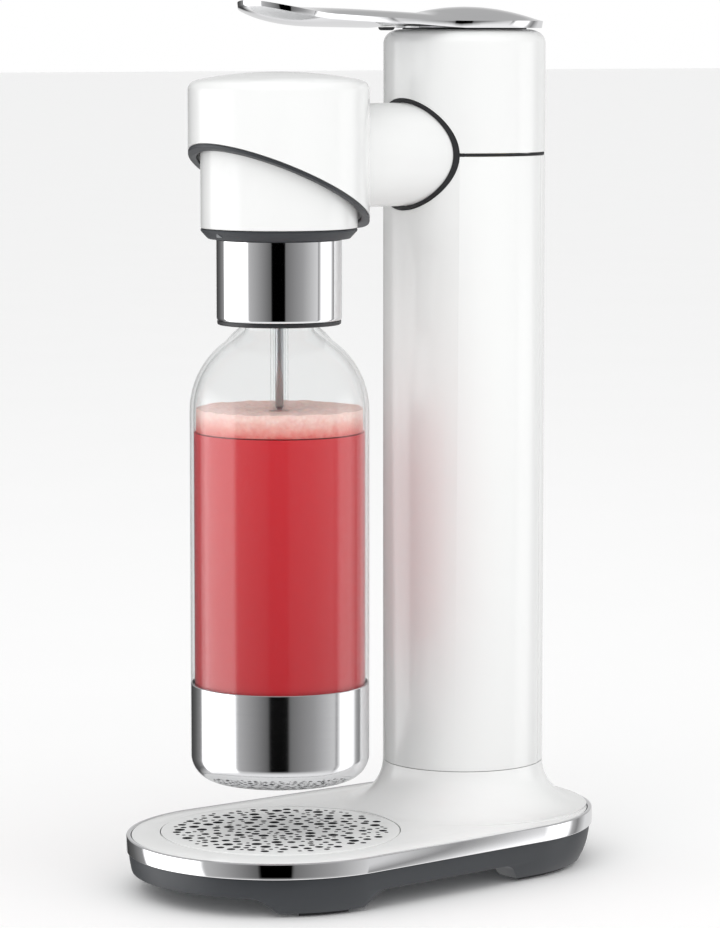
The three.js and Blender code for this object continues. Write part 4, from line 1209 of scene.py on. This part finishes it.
camera_turn = radians(50.87)        # the view is from the front, round to the right
camera_dip = radians(6.29)
camera_spot = Vector((1.4058, -1.1460, 0.3973))


def make_stage():
    floor = added(bpy.ops.mesh.primitive_plane_add, size=80, location=(0, 0, -0.0002))
    floor.name = "floor"
    floor.data.materials.append(make_floor())
    floor.visible_glossy = False


def make_camera():
    camera = linked("camera", bpy.data.cameras.new("camera"))
    camera.location = camera_spot
    camera.rotation_euler = (pi / 2 - camera_dip, 0, camera_turn)
    camera.data.lens = 148.66
    camera.data.sensor_width = 36
    bpy.context.scene.camera = camera


def area_light(name, turn, rise, distance, size, power):
    """A soft light at an angle round from the camera and above the floor; mirrors don't show it."""
    a = camera_turn + radians(turn)
    e = radians(rise)
    data = bpy.data.lights.new(name, "AREA")
    data.shape = "DISK"
    data.size = size
    data.energy = power
    light = linked(name, data)
    middle = Vector((0, 0, 0.2))
    back = Vector((sin(a) * cos(e), -cos(a) * cos(e), sin(e)))
    light.location = middle + distance * back
    light.rotation_mode = "QUATERNION"
    light.rotation_quaternion = back.to_track_quat("Z", "Y")
    light.visible_glossy = False


def make_lights():
    area_light("key", -35, 40, 2.4, 1.2, 3.2)
    area_light("fill", 50, 20, 2.4, 1.4, 1.6)
    area_light("top", 0, 85, 2.2, 1.6, 4)


class Sky(Finish):
    """The studio round the object, built by the same expressions as a material."""

    def __init__(self):
        world = bpy.data.worlds.new("studio")
        world.use_nodes = True
        bpy.context.scene.world = world
        self.tree = world.node_tree
        self.background = self.tree.nodes["Background"]


def make_studio():
    """Mirrors see white cards and dark gaps, by the angle from the camera's side; other light is soft."""
    sky = Sky()
    way = sky.node("ShaderNodeTexCoord")
    parts = sky.node("ShaderNodeSeparateXYZ", {}, {0: way})
    east, north, up = (Value(sky, parts.socket.node.outputs[i]) for i in range(3))
    towards = sin(camera_turn) * east - cos(camera_turn) * north
    rightwards = cos(camera_turn) * east + sin(camera_turn) * north
    turn = rightwards.math("ARCTAN2", towards) / (2 * pi) + 0.5
    cards = [(-180, 0.75), (-168, 0.7), (-162, 0.04), (-140, 0.12), (-122, 0.3), (-116, 2.4), (-62, 2.2),
             (-56, 0.5), (-14, 0.13), (-12, 0.0), (12, 0.0), (13, 0.17), (45, 0.36), (76, 0.7), (79, 0.25),
             (83, 0.9), (87, 1.6), (110, 1.4), (116, 0.45), (124, 0.25), (140, 0.75), (180, 0.75)]
    brightest = 4                # a ramp holds levels up to 1, so they are stored as shares of this
    stops = [(angle / 360 + 0.5, level / brightest) for angle, level in cards]
    ramp = sky.node("ShaderNodeValToRGB", {"stops": stops}, {"Fac": turn})
    overhead = sky.node("ShaderNodeMapRange", {}, {"Value": up, "From Min": 0.08, "From Max": 0.3})
    underfoot = sky.node("ShaderNodeMapRange", {}, {"Value": up, "From Min": -0.4, "From Max": -0.6})
    level = (1 - overhead) * (1 - underfoot)
    mirrored = brightest * ramp * level + 0.45 * overhead + 0.95 * underfoot
    soft = 0.8 + 0.55 * towards + 0.32 * up
    lit = sky.between(sky.node("ShaderNodeLightPath", output="Is Glossy Ray"), soft, mirrored)
    seen = sky.node("ShaderNodeLightPath", output="Is Camera Ray")
    sky.feed(sky.background.inputs["Color"], sky.between(seen, lit, shade(1.0)))


make_stage()
make_camera()
make_lights()
make_studio()
bpy.context.scene.view_settings.view_transform = "Standard"
